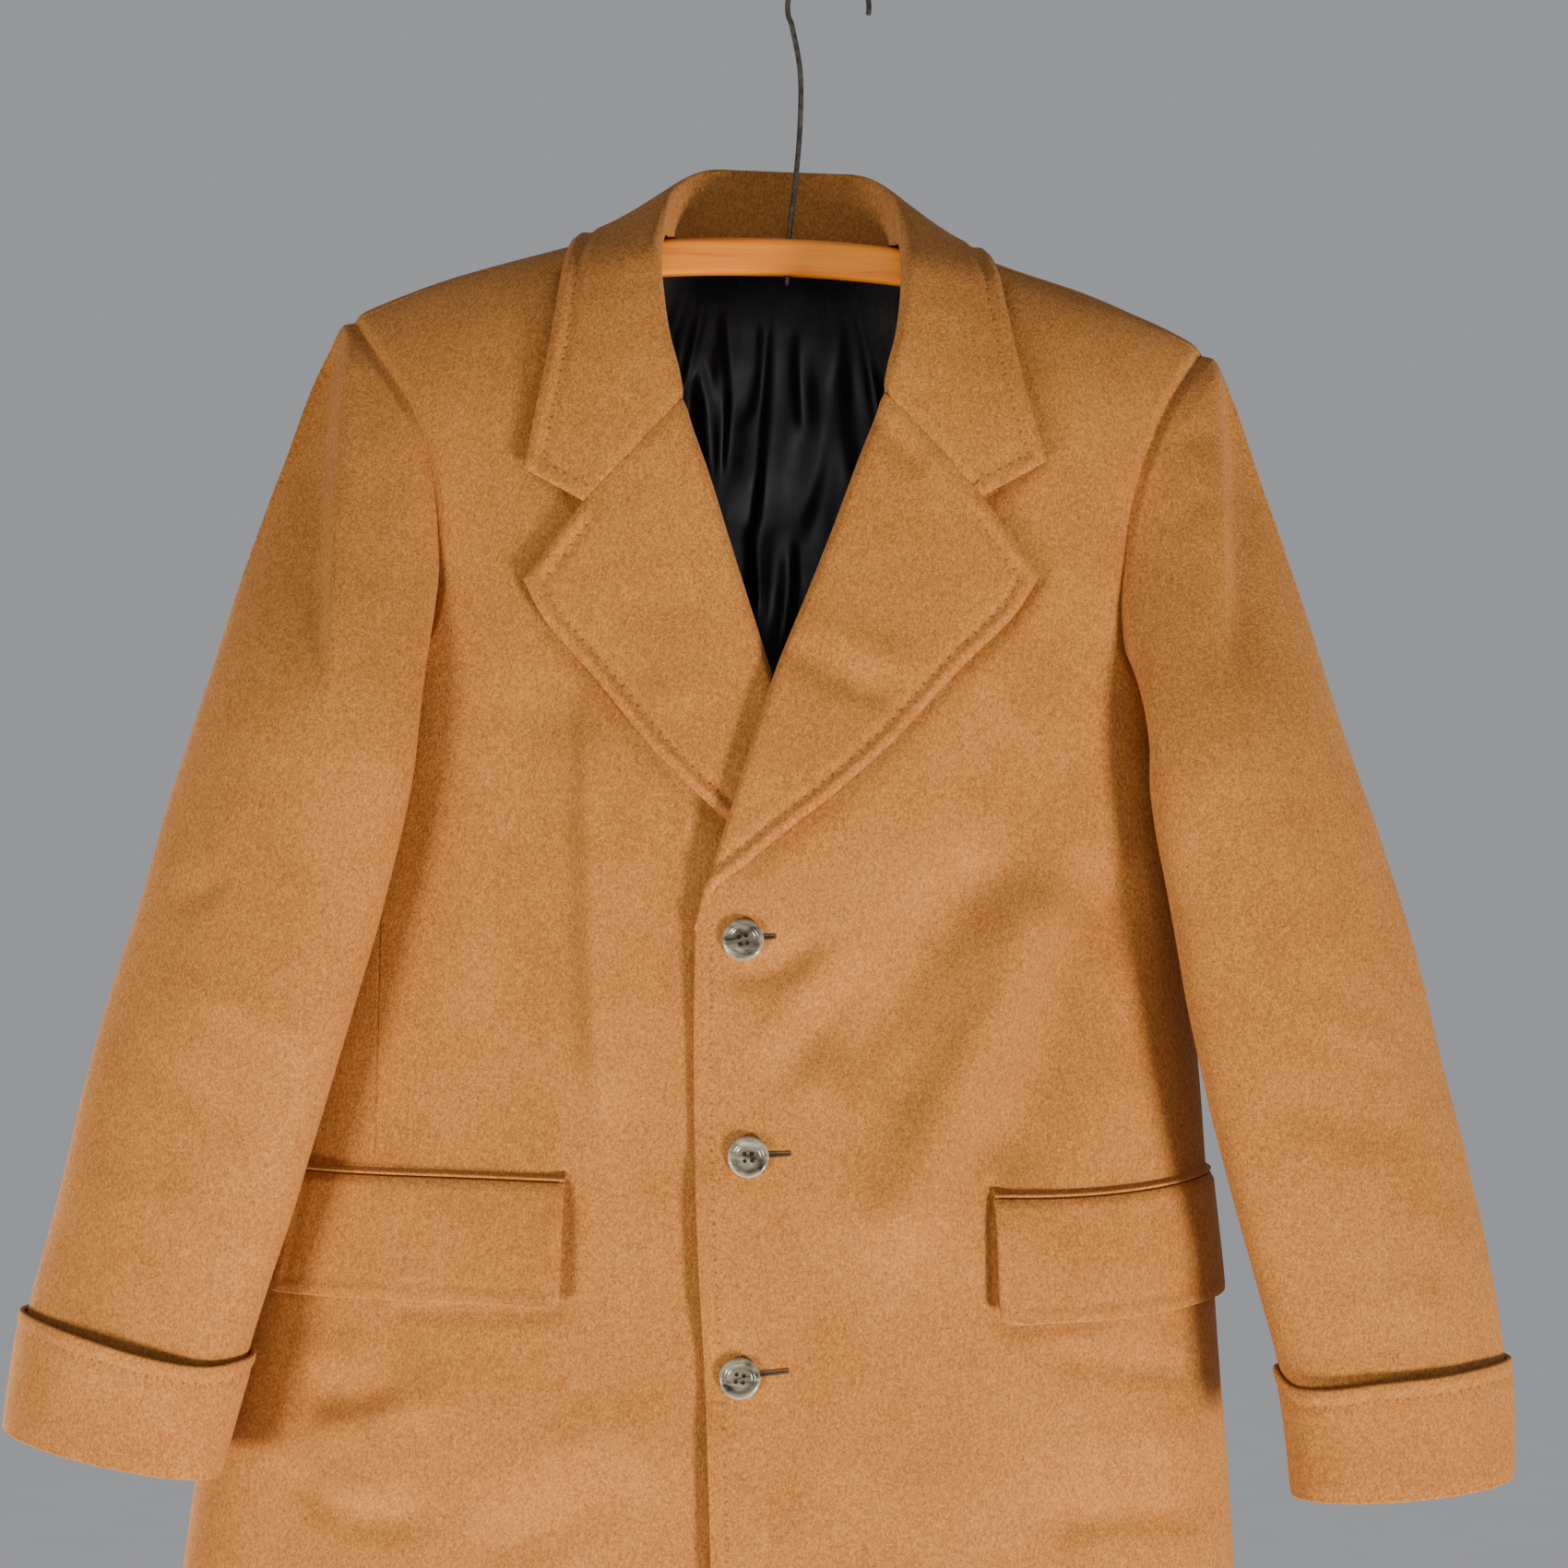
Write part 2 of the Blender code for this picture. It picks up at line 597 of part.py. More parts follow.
def neck_station(side, base, fold, edge_out, edge_turn):
    """One line across the collar where it stands round the neck and falls over the shoulder."""
    mirror = np.array((side, 1.0, 1.0))
    base, fold = np.array(base) * mirror, np.array(fold) * mirror
    x, turn = np.float64(side * edge_out), np.float64(edge_turn)
    edge = over_shoulder(x, turn) + shoulder_normals(x, turn) * COLLAR["edge_lift"]
    over = unit((edge - fold) * np.array((1.0, 1.0, 0.0)))
    reach = over * COLLAR["fold_reach"]
    stand = [hermite(base, fold - base, fold, reach, share) for share in (0, 0.35, 0.7, 1)]
    length = np.linalg.norm(edge - fold)
    down = shoulder_normals(x, turn)
    arrive = unit((edge - fold) - down * np.dot(edge - fold, down)) * length
    fall = [hermite(fold, reach * 1.1, edge, arrive, share) for share in NECK_FALL_SHARES]
    return np.array(stand + fall)


def collar_half(side):
    gorge = np.array((roll_point(GORGE_HEIGHT), NOTCH, COLLAR_POINT)) + np.array((0.0, SEAM))
    first, plain = front_station(side, gorge, COLLAR["edge_lift"])
    stations = [first]
    for fold_out, fold_height, edge_out, edge_height in COLLAR_FRONT_ROWS:
        path = np.array(((fold_out, fold_height), (edge_out, edge_height)), float)
        stations.append(front_station(side, path, COLLAR["edge_lift"])[0])
    stations += [neck_station(side, *row) for row in COLLAR_NECK_ROWS]
    return stations, seam_normals(first, plain)


def add_collar():
    right, right_end = collar_half(RIGHT)
    left, left_end = collar_half(LEFT)
    stations = np.array(right + left[-2::-1])
    count = len(stations)
    along = curve_through(np.arange(count), stations)
    steps = np.linspace(0, count - 1, (count - 1) * COLLAR["between"] + 1)
    points = np.array([along(np.float64(step)) for step in steps])
    middle = len(points) // 2
    normals = sheet_normals(points, np.array((0.0, 0.0, 1.0)))
    if normals[middle, 3, 2] < 0:
        normals = -normals
    normals[0], normals[-1] = right_end, left_end
    wall("collar", points, points - normals * WALL["collar"], "coat_cloth")


# Sleeves and cuffs


def armhole_edge(panels, side):
    """Points, normals and outward directions round an armhole, by angle from the shoulder."""
    found = {}
    for face, spots in (("front", ROUND_FRONT), ("back", ROUND_BACK)):
        points, normals = panels[side, face]
        last = YOKE_ROWS[face] + SKIRT_LEVELS.index(UNDERARM_LEVEL) + 1
        edge, normal = points[:last, -1], normals[:last, -1]
        leaving = points[:last, -1] - points[:last, -2]
        if face == "back":
            edge, normal, leaving = edge[::-1], normal[::-1], leaving[::-1]
        run = np.concatenate(([0.0], np.cumsum(np.linalg.norm(np.diff(edge, axis=0), axis=1))))
        along = np.gradient(edge, axis=0)
        leaving = leaving - normal * np.sum(leaving * normal, axis=1, keepdims=True)
        tangent = unit(along)
        leaving = unit(leaving - tangent * np.sum(leaving * tangent, axis=1, keepdims=True))
        found[face] = run / run[-1], edge, normal, leaving, spots

    def at(angle):
        angle = angle % 360
        face = "front" if angle <= UNDERARM_ANGLE else "back"
        run, edge, normal, leaving, spots = found[face]
        share = np.interp(angle, [spot[1] for spot in spots], [spot[0] for spot in spots])
        place, up, away = (
            np.array([np.interp(share, run, values[:, i]) for i in range(3)])
            for values in (edge, normal, leaving)
        )
        return place, unit(up), unit(away)

    return at


def sleeve_ring(side, level, angle):
    """Point of the hanging sleeve: angle 0 outside, 90 front, 180 inside."""
    table = SLEEVE_CURVES[side]
    cosine, sine = math.cos(math.radians(angle)), math.sin(math.radians(angle))
    half = (table["outer"](level) - table["inner"](level)) / 2
    z = level + SLEEVE_TILT[side] * cosine * half
    inner, outer = table["inner"](z), table["outer"](z)
    x = (inner + outer) / 2 + cosine * (outer - inner) / 2
    y = table["middle"](z) + SLEEVE["yaw"] * cosine * half - table["half_depth"](z) * sine
    return np.array((side * x, y, z), float)


def sleeve_line(side, at, angle, cap_shares, levels):
    """One line down the sleeve, from the armhole to the cuff."""
    edge, normal, leaving = at(angle)
    cap = table_curves(CAP_COLUMNS, CAP_ROWS)
    turn = angle % 360
    start = edge + leaving * SEAM * 2 + normal * cap["lap"](turn) * (WALL["sleeve"] + 0.5)
    end = sleeve_ring(side, SLEEVE["first"], angle)
    fall = (sleeve_ring(side, SLEEVE["first"] - 10, angle) - end) / 10
    away = leaving * cap["along"](turn) + normal * cap["out"](turn)
    arrive = fall * np.linalg.norm(end - start)
    line = [hermite(start, away, end, arrive, share) for share in cap_shares]
    return line + [sleeve_ring(side, level, angle) for level in levels], normal


def add_sleeve(side, word, panels):
    at = armhole_edge(panels, side)
    cap_shares = np.linspace(0, 1, SLEEVE["cap_rows"]) ** 1.5
    levels = np.linspace(SLEEVE["first"], SLEEVE_END[side], SLEEVE["rows"] + 1)[1:]
    top = np.linspace(*TOP_SLEEVE, TOP_COLUMNS + 1)
    under = np.linspace(TOP_SLEEVE[1], TOP_SLEEVE[0] + 360, UNDER_COLUMNS + 1)[1:-1]
    lines = [sleeve_line(side, at, angle, cap_shares, levels) for angle in (*top, *under)]
    points = np.array([line[0] for line in lines]).transpose(1, 0, 2)
    middle = np.mean(points, axis=1, keepdims=True)
    normals = sheet_normals(points, points - middle, around=True)
    normals[0] = np.array([line[1] for line in lines])
    count = len(top)
    for name, columns in (("top", range(count)), ("under", [*range(count - 1, len(lines)), 0])):
        piece, normal = points[:, columns].copy(), normals[:, columns]
        for end, near in ((0, 1), (-1, -2)):
            piece[:, end] += unit(piece[:, near] - piece[:, end]) * SEAM / 2
        wall(f"sleeve_{word}_{name}", piece, piece - normal * WALL["sleeve"], "coat_cloth")


def add_cuff(side, word):
    angles = np.linspace(0, 360, CUFF["columns"], endpoint=False)
    rows = []
    for share in np.linspace(0, 1, CUFF["rows"] + 1):
        level = SLEEVE_END[side] + CUFF["deep"] * (1 - share) - CUFF["past"] * share
        rows.append([sleeve_ring(side, level, angle) for angle in angles])
    points = np.array(rows)
    normals = sheet_normals(points, points - np.mean(points, axis=1, keepdims=True), around=True)
    gape = CUFF["clear"] + CUFF["gape"] * np.linspace(1, 0, CUFF["rows"] + 1) ** 1.3
    inner = points + normals * gape[:, None, None]
    wall(f"cuff_{word}", inner + normals * WALL["cuff"], inner, "coat_cloth", around=True)


# Pockets


def pocket_sheet(side, ends, tops, downs, outs):
    """Outer points of a strip on a front, from its forward edge round to its rear end."""
    front_x, slant, rear_angle = ends
    share = np.linspace(0, 1, len(tops))
    points, normals = [], []
    for down, out in zip(downs, outs):
        z = tops - down
        first = angle_at(side, front_x + slant * down / FLAP["deep"], z[0], 1)
        angles = first + (rear_angle - first) * share
        normal = round_normals(side, angles, z)
        place = round_body(side, angles, z)
        relief = front_relief(side, place[:, 0], place[:, 2]) + out
        points.append(place + normal * relief[:, None])
        normals.append(normal)
    return np.array(points), np.array(normals)


def add_pocket(side, word, front_x, slant, rear_angle, front_top, rear_top):
    ends = front_x, slant, rear_angle
    tops = front_top + (rear_top - front_top) * ease(np.linspace(0, 1, FLAP["columns"] + 1))
    shares = np.linspace(0, 1, FLAP["rows"] + 1)
    outs = FLAP["clear"] + WALL["flap"] + FLAP["flare"] * shares
    points, normals = pocket_sheet(side, ends, tops, FLAP["deep"] * shares, outs)
    wall(f"flap_{word}", points, points - normals * WALL["flap"], "coat_cloth")
    lip_top = tops + WELT["gap"] + WELT["deep"]
    lip = WELT["clear"] + WALL["welt"]
    points, normals = pocket_sheet(side, ends, lip_top, (0.0, WELT["deep"] / 2, WELT["deep"]), (lip,) * 3)
    wall(f"welt_{word}", points, points - normals * WALL["welt"], "coat_cloth")


# Lining, where the open neck shows it


def add_lining():
    """A satin back on the inside of the back panels, in soft upright pleats."""
    columns, rows = 24, 11
    across = np.linspace(-1, 1, columns + 1)
    x = across * LINING["top_half"]
    neckline = neck_turn(np.minimum(np.abs(x), NECK["half_width"] - 14))
    turn = neckline - 7.0 - 12.0 * ease((np.abs(x) - 40.0) / 60.0)
    tops = CREST(np.abs(x)) - drop_of(turn)
    wave = 0.5 + 0.5 * np.cos(np.pi * across * LINING["pleats"])
    points, normals = [], []
    for share in np.linspace(0, 1, rows + 1) ** 1.2:
        z = tops + (HEM + LINING["hem_above"] - tops) * share
        half = LINING["top_half"] + (ARMHOLE["back"](z[0]) - 16 - LINING["top_half"]) * ease(share * 7)
        edge = angle_at(LEFT, half, z[0], 1) if z[0] > UNDERARM else LINING["reach"]
        place = round_body(LEFT, 180 - across * edge, z)
        normal = round_normals(LEFT, 180 - across * edge, z)
        relief = folds(BACK_FOLD_ROWS, LEFT, place[:, 0], z) + folds(BACK_FOLD_ROWS, RIGHT, place[:, 0], z)
        inset = relief - WALL["body"] - LINING["clear"] - LINING["pleat"] * wave * ease(share * 6)
        points.append(place + normal * inset[:, None])
        normals.append(normal)
    points, normals = np.array(points), np.array(normals)
    wall("lining_back", points, points - normals * LINING["wall"], "lining_satin")


# Buttons


def add_button(number, x, z):
    radius = BUTTON["across"] / 2
    profile = (
        (0.0, BUTTON["dish"]), (radius * 0.62, BUTTON["dish"]), (radius * 0.74, BUTTON["rim"]),
        (radius * 0.9, BUTTON["rim"]), (radius, BUTTON["rim"] - 1.3), (radius * 0.96, 0.9),
        (radius * 0.7, 0.0), (0.0, 0.0),
    )
    shape = bmesh.new()
    verts = [shape.verts.new((across * MM, 0.0, up * MM)) for across, up in profile]
    edges = [shape.edges.new(pair) for pair in zip(verts, verts[1:])]
    bmesh.ops.spin(
        shape, geom=verts + edges, axis=(0, 0, 1), cent=(0, 0, 0), angle=math.tau, steps=18, use_merge=True
    )
    bmesh.ops.remove_doubles(shape, verts=shape.verts, dist=0.02 * MM)
    made = mesh_object(f"button_{number}", shape, "button_horn")
    cutter = bmesh.new()
    for corner in range(4):
        turn = math.radians(45 + 90 * corner)
        wide = BUTTON["holes"] / 2 * MM
        holes = bmesh.ops.create_cone(
            cutter, cap_ends=True, segments=6, radius1=wide, radius2=wide, depth=12 * MM
        )
        shift = Vector((math.cos(turn), math.sin(turn), 0)) * BUTTON["hole_out"] * MM
        bmesh.ops.translate(cutter, vec=shift, verts=holes["verts"])
    holes = mesh_object(f"button_{number}_holes", cutter, "button_horn")
    holes.hide_render = True
    holes.display_type = "WIRE"
    drill = made.modifiers.new("holes", "BOOLEAN")
    drill.object = holes
    seat = on_front(LEFT, np.float64(x), np.float64(z), BUTTON["clear"])
    normal = Vector(front_normals(np.float64(x), np.float64(z)))
    for piece in (made, holes):
        piece.location = Vector(seat * MM)
        piece.rotation_mode = "QUATERNION"
        piece.rotation_quaternion = normal.to_track_quat("Z", "Y")


# Hanger


def bar_top():
    """Top of the bar: under the cloth along the shoulders, lower where it crosses the open neck."""
    shoulders = np.linspace(125, BAR["half_length"], 5)
    rest = CREST(shoulders) - WALL["body"] - BAR["seat"]
    rows = np.vstack((BAR_NECK_ROWS, np.stack((shoulders, rest), axis=1)))
    return curve_through(rows[:, 0], rows[:, 1])


def add_bar():
    top = bar_top()
    shape = bmesh.new()
    half, high, bend = BAR["thick"] / 2, BAR["high"], BAR["round"]
    corners = ((1, 1, 0), (-1, 1, 90), (-1, -1, 180), (1, -1, 270))
    rings = []
    for x in np.linspace(-BAR["half_length"], BAR["half_length"], 25):
        end = max(0.0, abs(x) - BAR["half_length"] + 14) / 14
        slim = math.sqrt(max(0.16, 1 - end**2 * 0.84))
        tall = high * (0.78 + 0.22 * slim) - 4.0 * (abs(x) / BAR["half_length"]) ** 2
        crown = float(top(abs(x))) - (1 - slim) * 3.0
        ring = []
        for across, up, first in corners:
            for turn in (first, first + 45, first + 90):
                y = across * (half * slim - bend * slim) + bend * slim * math.cos(math.radians(turn))
                z = crown - tall / 2 + up * (tall / 2 - bend * slim)
                z += bend * slim * math.sin(math.radians(turn))
                ring.append(shape.verts.new(Vector((x, y, z)) * MM))
        rings.append(ring)
    for near, far in zip(rings, rings[1:]):
        for i in range(len(near)):
            k = (i + 1) % len(near)
            shape.faces.new((near[i], near[k], far[k], far[i]))
    shape.faces.new(rings[0])
    shape.faces.new(rings[-1])
    bar = mesh_object("hanger_bar", shape, "hanger_wood")
    bore = bmesh.new()
    wide = WIRE["bore"] / 2 * MM
    bmesh.ops.create_cone(bore, cap_ends=True, segments=12, radius1=wide, radius2=wide, depth=60 * MM)
    cutter = mesh_object("hanger_bore", bore, "hanger_wood")
    cutter.location = Vector((WIRE["stem_x"], 0, BAR_NECK_ROWS[0][1] - BAR["high"] / 2)) * MM
    cutter.hide_render = True
    cutter.display_type = "WIRE"
    drill = bar.modifiers.new("bore", "BOOLEAN")
    drill.object = cutter


def add_hook():
    radius = CROOK["radius"]
    centre = np.array((-HOOK_TO_COAT, WIRE["across"] / 2 - radius))
    turns = np.radians(np.linspace(CROOK["start"], CROOK["end"], CROOK["points"]))
    crook = centre + radius * np.stack((np.cos(turns), np.sin(turns)), axis=1)
    stem = np.array(HOOK_ROWS)
    along = curve_through(np.arange(len(stem) + 1), np.vstack((stem, crook[:1])))
    path = [along(np.float64(step)) for step in np.linspace(0, len(stem), 22)] + list(crook[1:])
    line = bpy.data.curves.new("hanger_hook", "CURVE")
    line.dimensions = "3D"
    line.bevel_depth = WIRE["across"] / 2 * MM
    line.bevel_resolution = 2
    line.use_fill_caps = True
    spline = line.splines.new("POLY")
    spline.points.add(len(path) - 1)
    for point, (x, z) in zip(spline.points, path):
        point.co = (x * MM, 0.0, z * MM, 1.0)
    add_object("hanger_hook", line, "hook_wire")


for thing in list(bpy.data.objects):
    bpy.data.objects.remove(thing, do_unlink=True)

coat = bpy.data.objects.new("coat", None)
coat.location = (HOOK_TO_COAT * MM, 0.0, 0.0)
bpy.context.scene.collection.objects.link(coat)

SLEEVE_CURVES = {side: table_curves(SLEEVE_COLUMNS, rows) for side, rows in SLEEVE_ROWS.items()}
YOKE_Z = {(side, face): yoke_bottom(side, face) for side in (LEFT, RIGHT) for face in ("front", "back")}

body_panels = add_body()
add_collar()
for coat_side, side_word in ((LEFT, "left"), (RIGHT, "right")):
    add_lapel(coat_side, side_word)
    add_sleeve(coat_side, side_word, body_panels)
    add_cuff(coat_side, side_word)
for coat_side, *pocket in FLAP_ROWS:
    add_pocket(coat_side, "left" if coat_side == LEFT else "right", *pocket)
add_lining()
for button_number, (button_x, button_z) in enumerate(BUTTON_ROWS, 1):
    add_button(button_number, button_x, button_z)
add_bar()
add_hook()
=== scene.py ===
import math

import bmesh
import bpy
import numpy as np
from mathutils import Matrix, Vector
from mathutils.bvhtree import BVHTree


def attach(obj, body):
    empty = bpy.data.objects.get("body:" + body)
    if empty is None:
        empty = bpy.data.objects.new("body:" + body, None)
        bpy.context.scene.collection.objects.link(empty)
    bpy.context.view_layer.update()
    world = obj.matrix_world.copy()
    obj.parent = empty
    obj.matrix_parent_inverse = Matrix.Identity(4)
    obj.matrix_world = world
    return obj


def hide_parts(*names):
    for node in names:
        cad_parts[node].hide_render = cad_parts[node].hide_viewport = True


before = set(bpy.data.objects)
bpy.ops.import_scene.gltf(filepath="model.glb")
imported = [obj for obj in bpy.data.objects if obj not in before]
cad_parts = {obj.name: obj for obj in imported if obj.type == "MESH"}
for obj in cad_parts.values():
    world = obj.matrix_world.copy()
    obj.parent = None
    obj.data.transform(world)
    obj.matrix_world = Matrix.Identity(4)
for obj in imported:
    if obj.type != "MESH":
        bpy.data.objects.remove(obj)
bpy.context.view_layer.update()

# Overcoat on a hanger. Shapes are worked in millimetres in the coat's own frame,
# +X to the wearer's left, -Y to the front, and become metres in the meshes.
mm = 0.001
left, right = 1, -1
sideWord = {left: "Left", right: "Right"}
coatShift = np.array((-22.0, 0.0, 0.0))  # the hook's crook stands beside the coat's middle
towardsFront, upwards = np.array((0.0, -1.0, 0.0)), np.array((0.0, 0.0, 1.0))


# Curves

def hermite(start, leave, end, arrive, share):
    square, cube = share**2, share**3
    return (start * (2 * cube - 3 * square + 1) + leave * (cube - 2 * square + share)
            + end * (3 * square - 2 * cube) + arrive * (cube - square))


def smoothThrough(knots, values):
    knots, values = np.asarray(knots, float), np.asarray(values, float)
    order = np.argsort(knots)
    knots, values = knots[order], values[order]
    slopes = np.gradient(values, knots, axis=0)
    more = (1,) * (values.ndim - 1)

    def at(where):
        where = np.clip(np.asarray(where, float), knots[0], knots[-1])
        i = np.clip(np.searchsorted(knots, where) - 1, 0, len(knots) - 2)
        width = (knots[i + 1] - knots[i]).reshape(where.shape + more)
        share = (where - knots[i]).reshape(where.shape + more) / width
        return hermite(values[i], slopes[i] * width, values[i + 1], slopes[i + 1] * width, share)

    return at


def columnsOf(rows):
    # one curve for each column after the first, which holds the knots
    knots, *columns = zip(*rows)
    return [smoothThrough(knots, column) for column in columns]


def ease(share):
    share = np.clip(share, 0, 1)
    return share * share * (3 - 2 * share)


def bell(away, wide):
    return np.exp(-((away / wide) ** 2))


def xyz(x, y, z):
    return np.stack(np.broadcast_arrays(x, y, z), axis=-1).astype(float)


def unit(vectors):
    return vectors / np.linalg.norm(vectors, axis=-1, keepdims=True)


def dots(one, other):
    return np.sum(one * other, axis=-1, keepdims=True)


def runAlong(line):
    return np.concatenate(([0.0], np.cumsum(np.linalg.norm(np.diff(line, axis=0), axis=1))))


def spaced(*runs):
    # shares from runs of (end, how many steps)
    shares, start = [0.0], 0.0
    for end, steps in runs:
        shares.extend(np.linspace(start, end, steps + 1)[1:])
        start = end
    return np.array(shares)


# Form of the body

bodyForm = {
    # height, half width, middle, depth ahead, depth behind, depth of the side seam
    "sections": (
        (-130, 262, 0, 58, 54, 0), (-216, 262, 0, 60, 55, 0), (-300, 254, 0, 70, 60, 8),
        (-440, 250, -2, 76, 64, 16), (-600, 267, -6, 76, 66, 14), (-760, 288, -10, 77, 66, 9),
        (-930, 308, -12, 78, 66, 5), (-1225, 325, -14, 76, 66, 3),
    ),
    # distance out, height of the shoulder line
    "crest": (
        (0, -132), (40, -140), (72, -151), (122, -168.5), (188, -188.7), (220, -201.5), (249, -215.5),
        (285, -236),
    ),
    "flatness": 2.5, "arch": 100.0, "shoulderSeam": 16.0,
    "neckHalf": 72.0, "neckTurn": -42.0, "neckSquare": 2.6,
    # height, armhole edge of the front, of the back
    "armhole": (
        (-215, 252, 252), (-222, 247.5, 248), (-240, 234.5, 240), (-261, 221, 232), (-280, 211.5, 226),
        (-300, 205, 221), (-320, 200.5, 217), (-345, 198, 214), (-378, 197, 217), (-405, 204, 226),
        (-425, 222, 237), (-440, 250, 250),
    ),
    "underarm": -440.0, "hem": -1225.0, "wall": 2.6, "seam": 0.08,
}
frontForm = {
    # height, roll line of the lapel; height, front edge; both out from the middle
    "roll": (
        (-150, 70), (-185, 69), (-215, 66), (-244, 60), (-272, 53), (-299, 43), (-340, 29), (-381, 14.5),
        (-417, 1.5), (-482, -16), (-543, -30),
    ),
    "edge": ((-556, -33), (-612, -32), (-664, -30), (-741, -25), (-818, -18), (-916, -11), (-1225, -7)),
    "behindRoll": 5.2, "breakAbove": 6.0, "breakRun": 24.0, "dart": (-216.5, -470.0, -211.5, -705.0),
    # where edges lying on the front press into it: depth, half width, points out and up
    "pressed": (
        (2.8, 5.5, ((124, -186), (128, -211), (133, -240), (139, -267), (145.7, -294.3), (112, -320.5))),
        (3.2, 5.5, ((112, -320.5), (144.5, -365), (130, -389), (100, -421), (70, -456), (40, -485),
                    (12, -509), (-10, -529))),
    ),
    "pocketPressed": {
        right: (2.9, 5.0, ((103, -708), (101, -740), (101, -778), (106, -783), (190, -786))),
        left: (2.9, 5.0, ((141, -708), (143, -740), (146, -777), (151, -782), (200, -778))),
    },
    # height, how far the neck leans across and up
    "lean": ((-170, 0, 0), (-290, 6, 5), (-420, 7, 6), (-500, 4, 2), (-570, 0, 0)),
    # height, lift of the upper front over the under one
    "lapLift": ((-290, 0), (-390, 6), (-440, 8.8), (-550, 8.8), (-630, 4.6), (-800, 4.2), (-1225, 3.6)),
    "lapFull": 45.0, "lapNone": 120.0, "underSink": 2.4, "waverFrom": 0.0,
    # x and z of both ends, half width, height
    "folds": {
        right: ((-104, -470, -86, -645, 22, 5.0), (-135, -450, -125, -650, 26, -4.0),
                (-160, -830, -70, -860, 30, 5.0), (-215, -880, -150, -1150, 38, 8.0),
                (-80, -930, -85, -1180, 40, -6.0)),
        left: ((158, -552, 90, -715, 24, 12.5), (123, -536, 54, -622, 22, -10.0),
               (192, -547, 149, -677, 23, -10.5), (110, -880, 95, -1180, 40, 7.0),
               (190, -900, 205, -1180, 40, -6.0)),
    },
    # x and z of start, bend and end, width on the wearer's right and left of it, height
    "creases": {
        right: (
            (-98, -395, -97, -560, -76, -735, 5.5, 17, 3.8), (-110, -420, -110, -560, -91, -712, 13, 8, -2.8),
            (-256, -824, -232, -810, -200, -816, 9, 10, 2.4),
            (-243, -838, -216, -850, -186, -826, 8, 9, -4.2),
            (-264, -870, -225, -918, -152, -899, 11, 10, -5.0),
            (-246, -864, -212, -840, -146, -836, 9, 12, 3.4),
            (-240, -886, -216, -894, -190, -889, 8, 8, 2.6), (-154, -926, -97, -908, -48, -870, 15, 18, -4.6),
            (-152, -882, -110, -868, -54, -836, 14, 14, 2.6),
            (-176, -470, -168, -560, -160, -668, 22, 14, 1.8),
            (-60, -560, -58, -640, -52, -740, 14, 18, -1.5),
            (-240, -960, -225, -1050, -232, -1215, 20, 15, -3.5),
            (-120, -1000, -118, -1100, -126, -1215, 18, 22, 3.0),
        ),
        left: (
            (-31, -686, -27, -748, -18, -810, 22, 18, 4.2), (-25, -826, -17, -880, -12, -960, 22, 18, 3.0),
            (-18, -580, 2, -606, 46, -556, 7, 9, -4.6), (-2, -638, 22, -604, 58, -562, 7, 9, 3.4),
            (6, -666, 34, -622, 72, -570, 8, 9, -3.2), (24, -676, 58, -618, 104, -552, 9, 11, 2.2),
            (70, -690, 104, -624, 150, -556, 12, 15, -2.4), (108, -730, 136, -660, 172, -580, 12, 12, 2.4),
            (160, -797, 222, -805, 280, -815, 7, 8, -2.4), (166, -898, 225, -888, 282, -893, 9, 12, -3.4),
            (176, -850, 225, -846, 280, -851, 12, 12, 1.4), (60, -760, 58, -820, 52, -900, 16, 13, 1.8),
            (158, -980, 150, -1080, 160, -1215, 16, 20, -3.0),
            (252, -930, 262, -1060, 258, -1215, 15, 18, 3.0),
        ),
    },
}
backForm = {
    "waverFrom": 140.0,
    "folds": {
        right: ((-120, -520, -150, -1150, 38, 10.5), (-205, -620, -235, -1170, 32, -9.0)),
        left: ((105, -560, 130, -1160, 36, 10.5), (200, -600, 225, -1170, 32, -9.0)),
    },
    "creases": {
        right: (
            (-70, -330, -130, -400, -205, -420, 14, 18, -4.5),
            (-60, -640, -66, -860, -58, -1180, 18, 24, -5.0),
            (-172, -700, -190, -900, -186, -1200, 20, 14, 4.6),
            (-262, -760, -275, -900, -278, -1190, 14, 18, 4.0),
            (-96, -470, -150, -520, -214, -528, 13, 17, 3.4),
        ),
        left: (
            (78, -330, 140, -395, 208, -425, 18, 14, -4.2), (52, -600, 60, -840, 50, -1190, 22, 17, -5.0),
            (170, -660, 178, -880, 170, -1200, 15, 21, 4.4), (258, -740, 268, -940, 262, -1190, 18, 14, 3.8),
            (84, -455, 146, -500, 216, -516, 17, 12, 3.2),
        ),
    },
}
creaseSteps, creaseFade = 22, 0.28
# height, lengths and bends of two sets of swells
swells = ((0.55, 27, 1.3, 61, 0.4, 23, 46, 0.9, 38, 0.0), (0.2, 13.5, 1.1, 24, 0.0, 11, 21.5, 1.2, 17, 2.0))
halfWidth, middle, depthAhead, depthBehind, sideDepth = columnsOf(bodyForm["sections"])
crest, = columnsOf(bodyForm["crest"])
armholeFront, armholeBack = columnsOf(bodyForm["armhole"])
rollOut, = columnsOf(frontForm["roll"])
edgeOut, = columnsOf(frontForm["edge"])
leanAcross, leanUp = columnsOf(frontForm["lean"])
lapLift, = columnsOf(frontForm["lapLift"])
rollEnd = frontForm["roll"][-1][0]


def dropOf(turn):
    turn, arch = np.abs(turn), bodyForm["arch"]
    return np.where(turn < 90, arch * (1 - np.cos(np.radians(turn))), arch * (1 + np.radians(turn - 90)))


